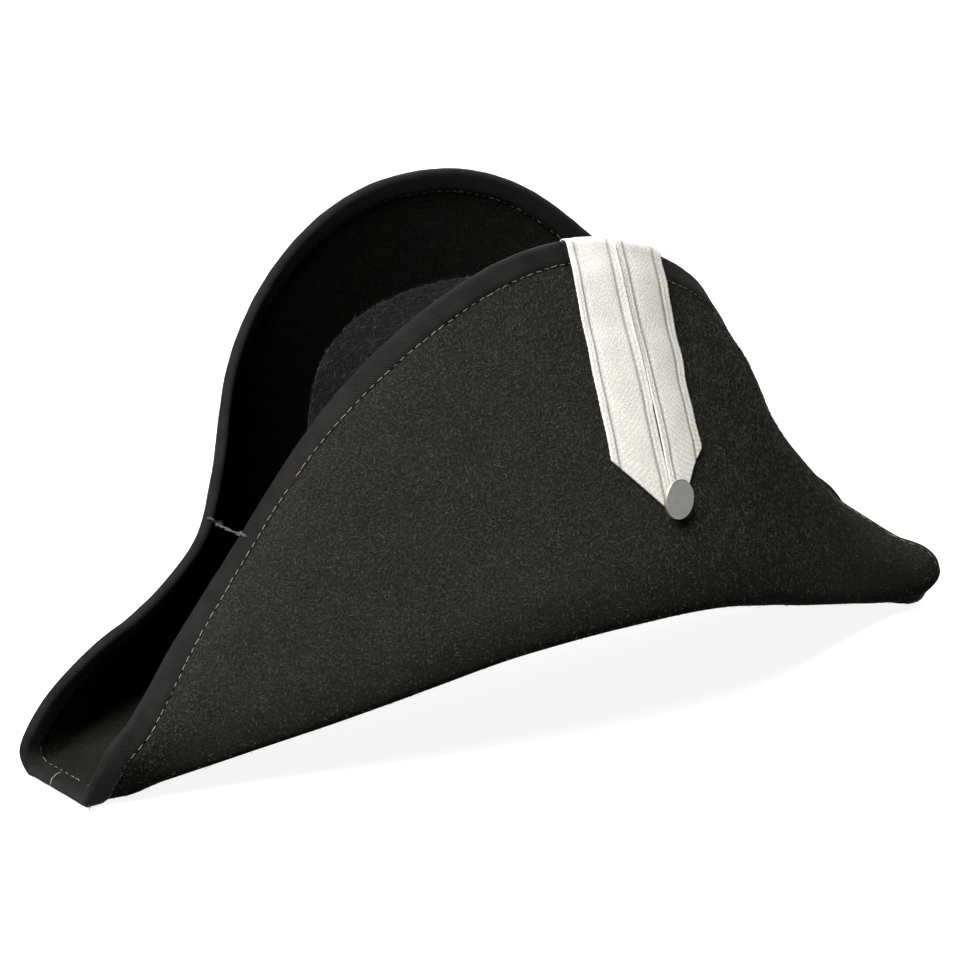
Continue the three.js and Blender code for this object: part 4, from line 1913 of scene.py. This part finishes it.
# ---- The studio ----
@dataclass(frozen=True)
class Lamp:
    """A soft square light that points at the hat.

    Attributes:
        name: Its name.
        place: Where it hangs, in metres.
        size: Its width, in metres.
        power: Its power, in watts.
        aim: The height that it points at, in metres.
    """

    name: str
    place: tuple[float, float, float]
    size: float
    power: float
    aim: float = 0.08

    def build(self) -> None:
        """Hangs the light."""
        data = bpy.data.lights.new(self.name, "AREA")
        data.size = self.size
        data.energy = self.power
        lamp = shown(bpy.data.objects.new(self.name, data))
        lamp.location = self.place
        way = Vector((0, 0, self.aim)) - lamp.location
        lamp.rotation_euler = way.to_track_quat("-Z", "Y").to_euler()


KEY = Lamp("key", (-1.28, -0.52, 2.14), 1.4, 218)
FILL = Lamp("fill", (1.6, 1.8, 1.6), 1.5, 60)


@dataclass(frozen=True)
class Studio:
    """Floor, lights and camera.

    Attributes:
        azimuth: Where the camera looks from, in degrees to the right of the front.
        elevation: How far above the horizon it is, in degrees.
        distance: How far it is from the hat, in metres.
        lens: Its focal length, in millimetres.
        shift: How far its view is moved sideways and up, in widths of the view.
        aim: The height of the point that it looks at, in metres.
        floor_half: Half the width of the floor, in metres.
        floor_drop: How far the floor is below the hat, in metres.
        glow: How brightly the floor shines by itself.
        sky: How bright the even light all round is.
    """

    azimuth: float = -36.0
    elevation: float = 18.0
    distance: float = 2.25
    lens: float = 183.75
    shift: tuple[float, float] = (-1 / 48, 1 / 16)
    aim: float = 0.07
    floor_half: float = 6.0
    floor_drop: float = 0.0002
    glow: float = 0.9
    sky: float = 0.08

    def floor(self) -> None:
        """Lays a wide pale floor under the hat."""
        mesh = bpy.data.meshes.new("floor")
        half = self.floor_half
        square = [(-half, -half, 0), (half, -half, 0), (half, half, 0), (-half, half, 0)]
        mesh.from_pydata(square, [], [(0, 1, 2, 3)])
        nodes = Nodes("floor_pale")
        nodes.give({"Base Color": (0.3, 0.3, 0.3, 1), "Roughness": 0.9})
        nodes.give({"Emission Color": WHITE, "Emission Strength": self.glow})
        mesh.materials.append(nodes.material)
        floor = shown(bpy.data.objects.new("floor", mesh))
        floor.location.z = -self.floor_drop
        floor.visible_diffuse = False

    def world(self) -> None:
        """Surrounds the hat with even white light."""
        world = bpy.data.worlds.new("studio")
        world.use_nodes = True
        background = world.node_tree.nodes["Background"]
        background.inputs["Color"].default_value = WHITE
        background.inputs["Strength"].default_value = self.sky
        bpy.context.scene.world = world
        bpy.context.scene.view_settings.view_transform = "Standard"

    def camera(self) -> None:
        """Places the camera."""
        azimuth, elevation = math.radians(self.azimuth), math.radians(self.elevation)
        level = math.cos(elevation)
        back = Vector((math.sin(azimuth) * level, -math.cos(azimuth) * level, math.sin(elevation)))
        data = bpy.data.cameras.new("camera")
        data.lens = self.lens
        data.sensor_width = 36.0
        data.shift_x, data.shift_y = self.shift
        camera = shown(bpy.data.objects.new("camera", data))
        camera.location = Vector((0, 0, self.aim)) + back * self.distance
        camera.rotation_mode = "QUATERNION"
        camera.rotation_quaternion = (-back).to_track_quat("-Z", "Y")
        bpy.context.scene.camera = camera

    def build(self) -> None:
        """Sets the whole studio up."""
        self.floor()
        self.world()
        for lamp in (KEY, FILL):
            lamp.build()
        self.camera()


def main() -> None:
    """Builds the hat and its studio."""
    logging.basicConfig(level=logging.INFO, format="%(name)s: %(message)s")
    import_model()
    shape = BrimShape()
    flap = FrontFlap(shape)
    for felt in (Brim(shape), Crown(shape)):
        felt.build()
        felt.nap()
    Binding(shape).build()
    Stitching(shape).build()
    left = {"side": -1, "outer_x": 1.6, "lap": 0.6, "rise": 0.0, "waver": 0.14}
    right = {"side": 1, "outer_x": 56.5, "lap": 0.0, "rise": 2.0, "waver": 0.5}
    StrapRun("strap_left_braid", "strap_left", flap, **left).build()
    StrapRun("strap_right_braid", "strap_right", flap, **right).build()
    Button(flap).build()
    for side in (-1, 1):
        TieThread(shape, side).build()
    LooseEnds().build()
    Studio().build()


if __name__ == "__main__":
    main()
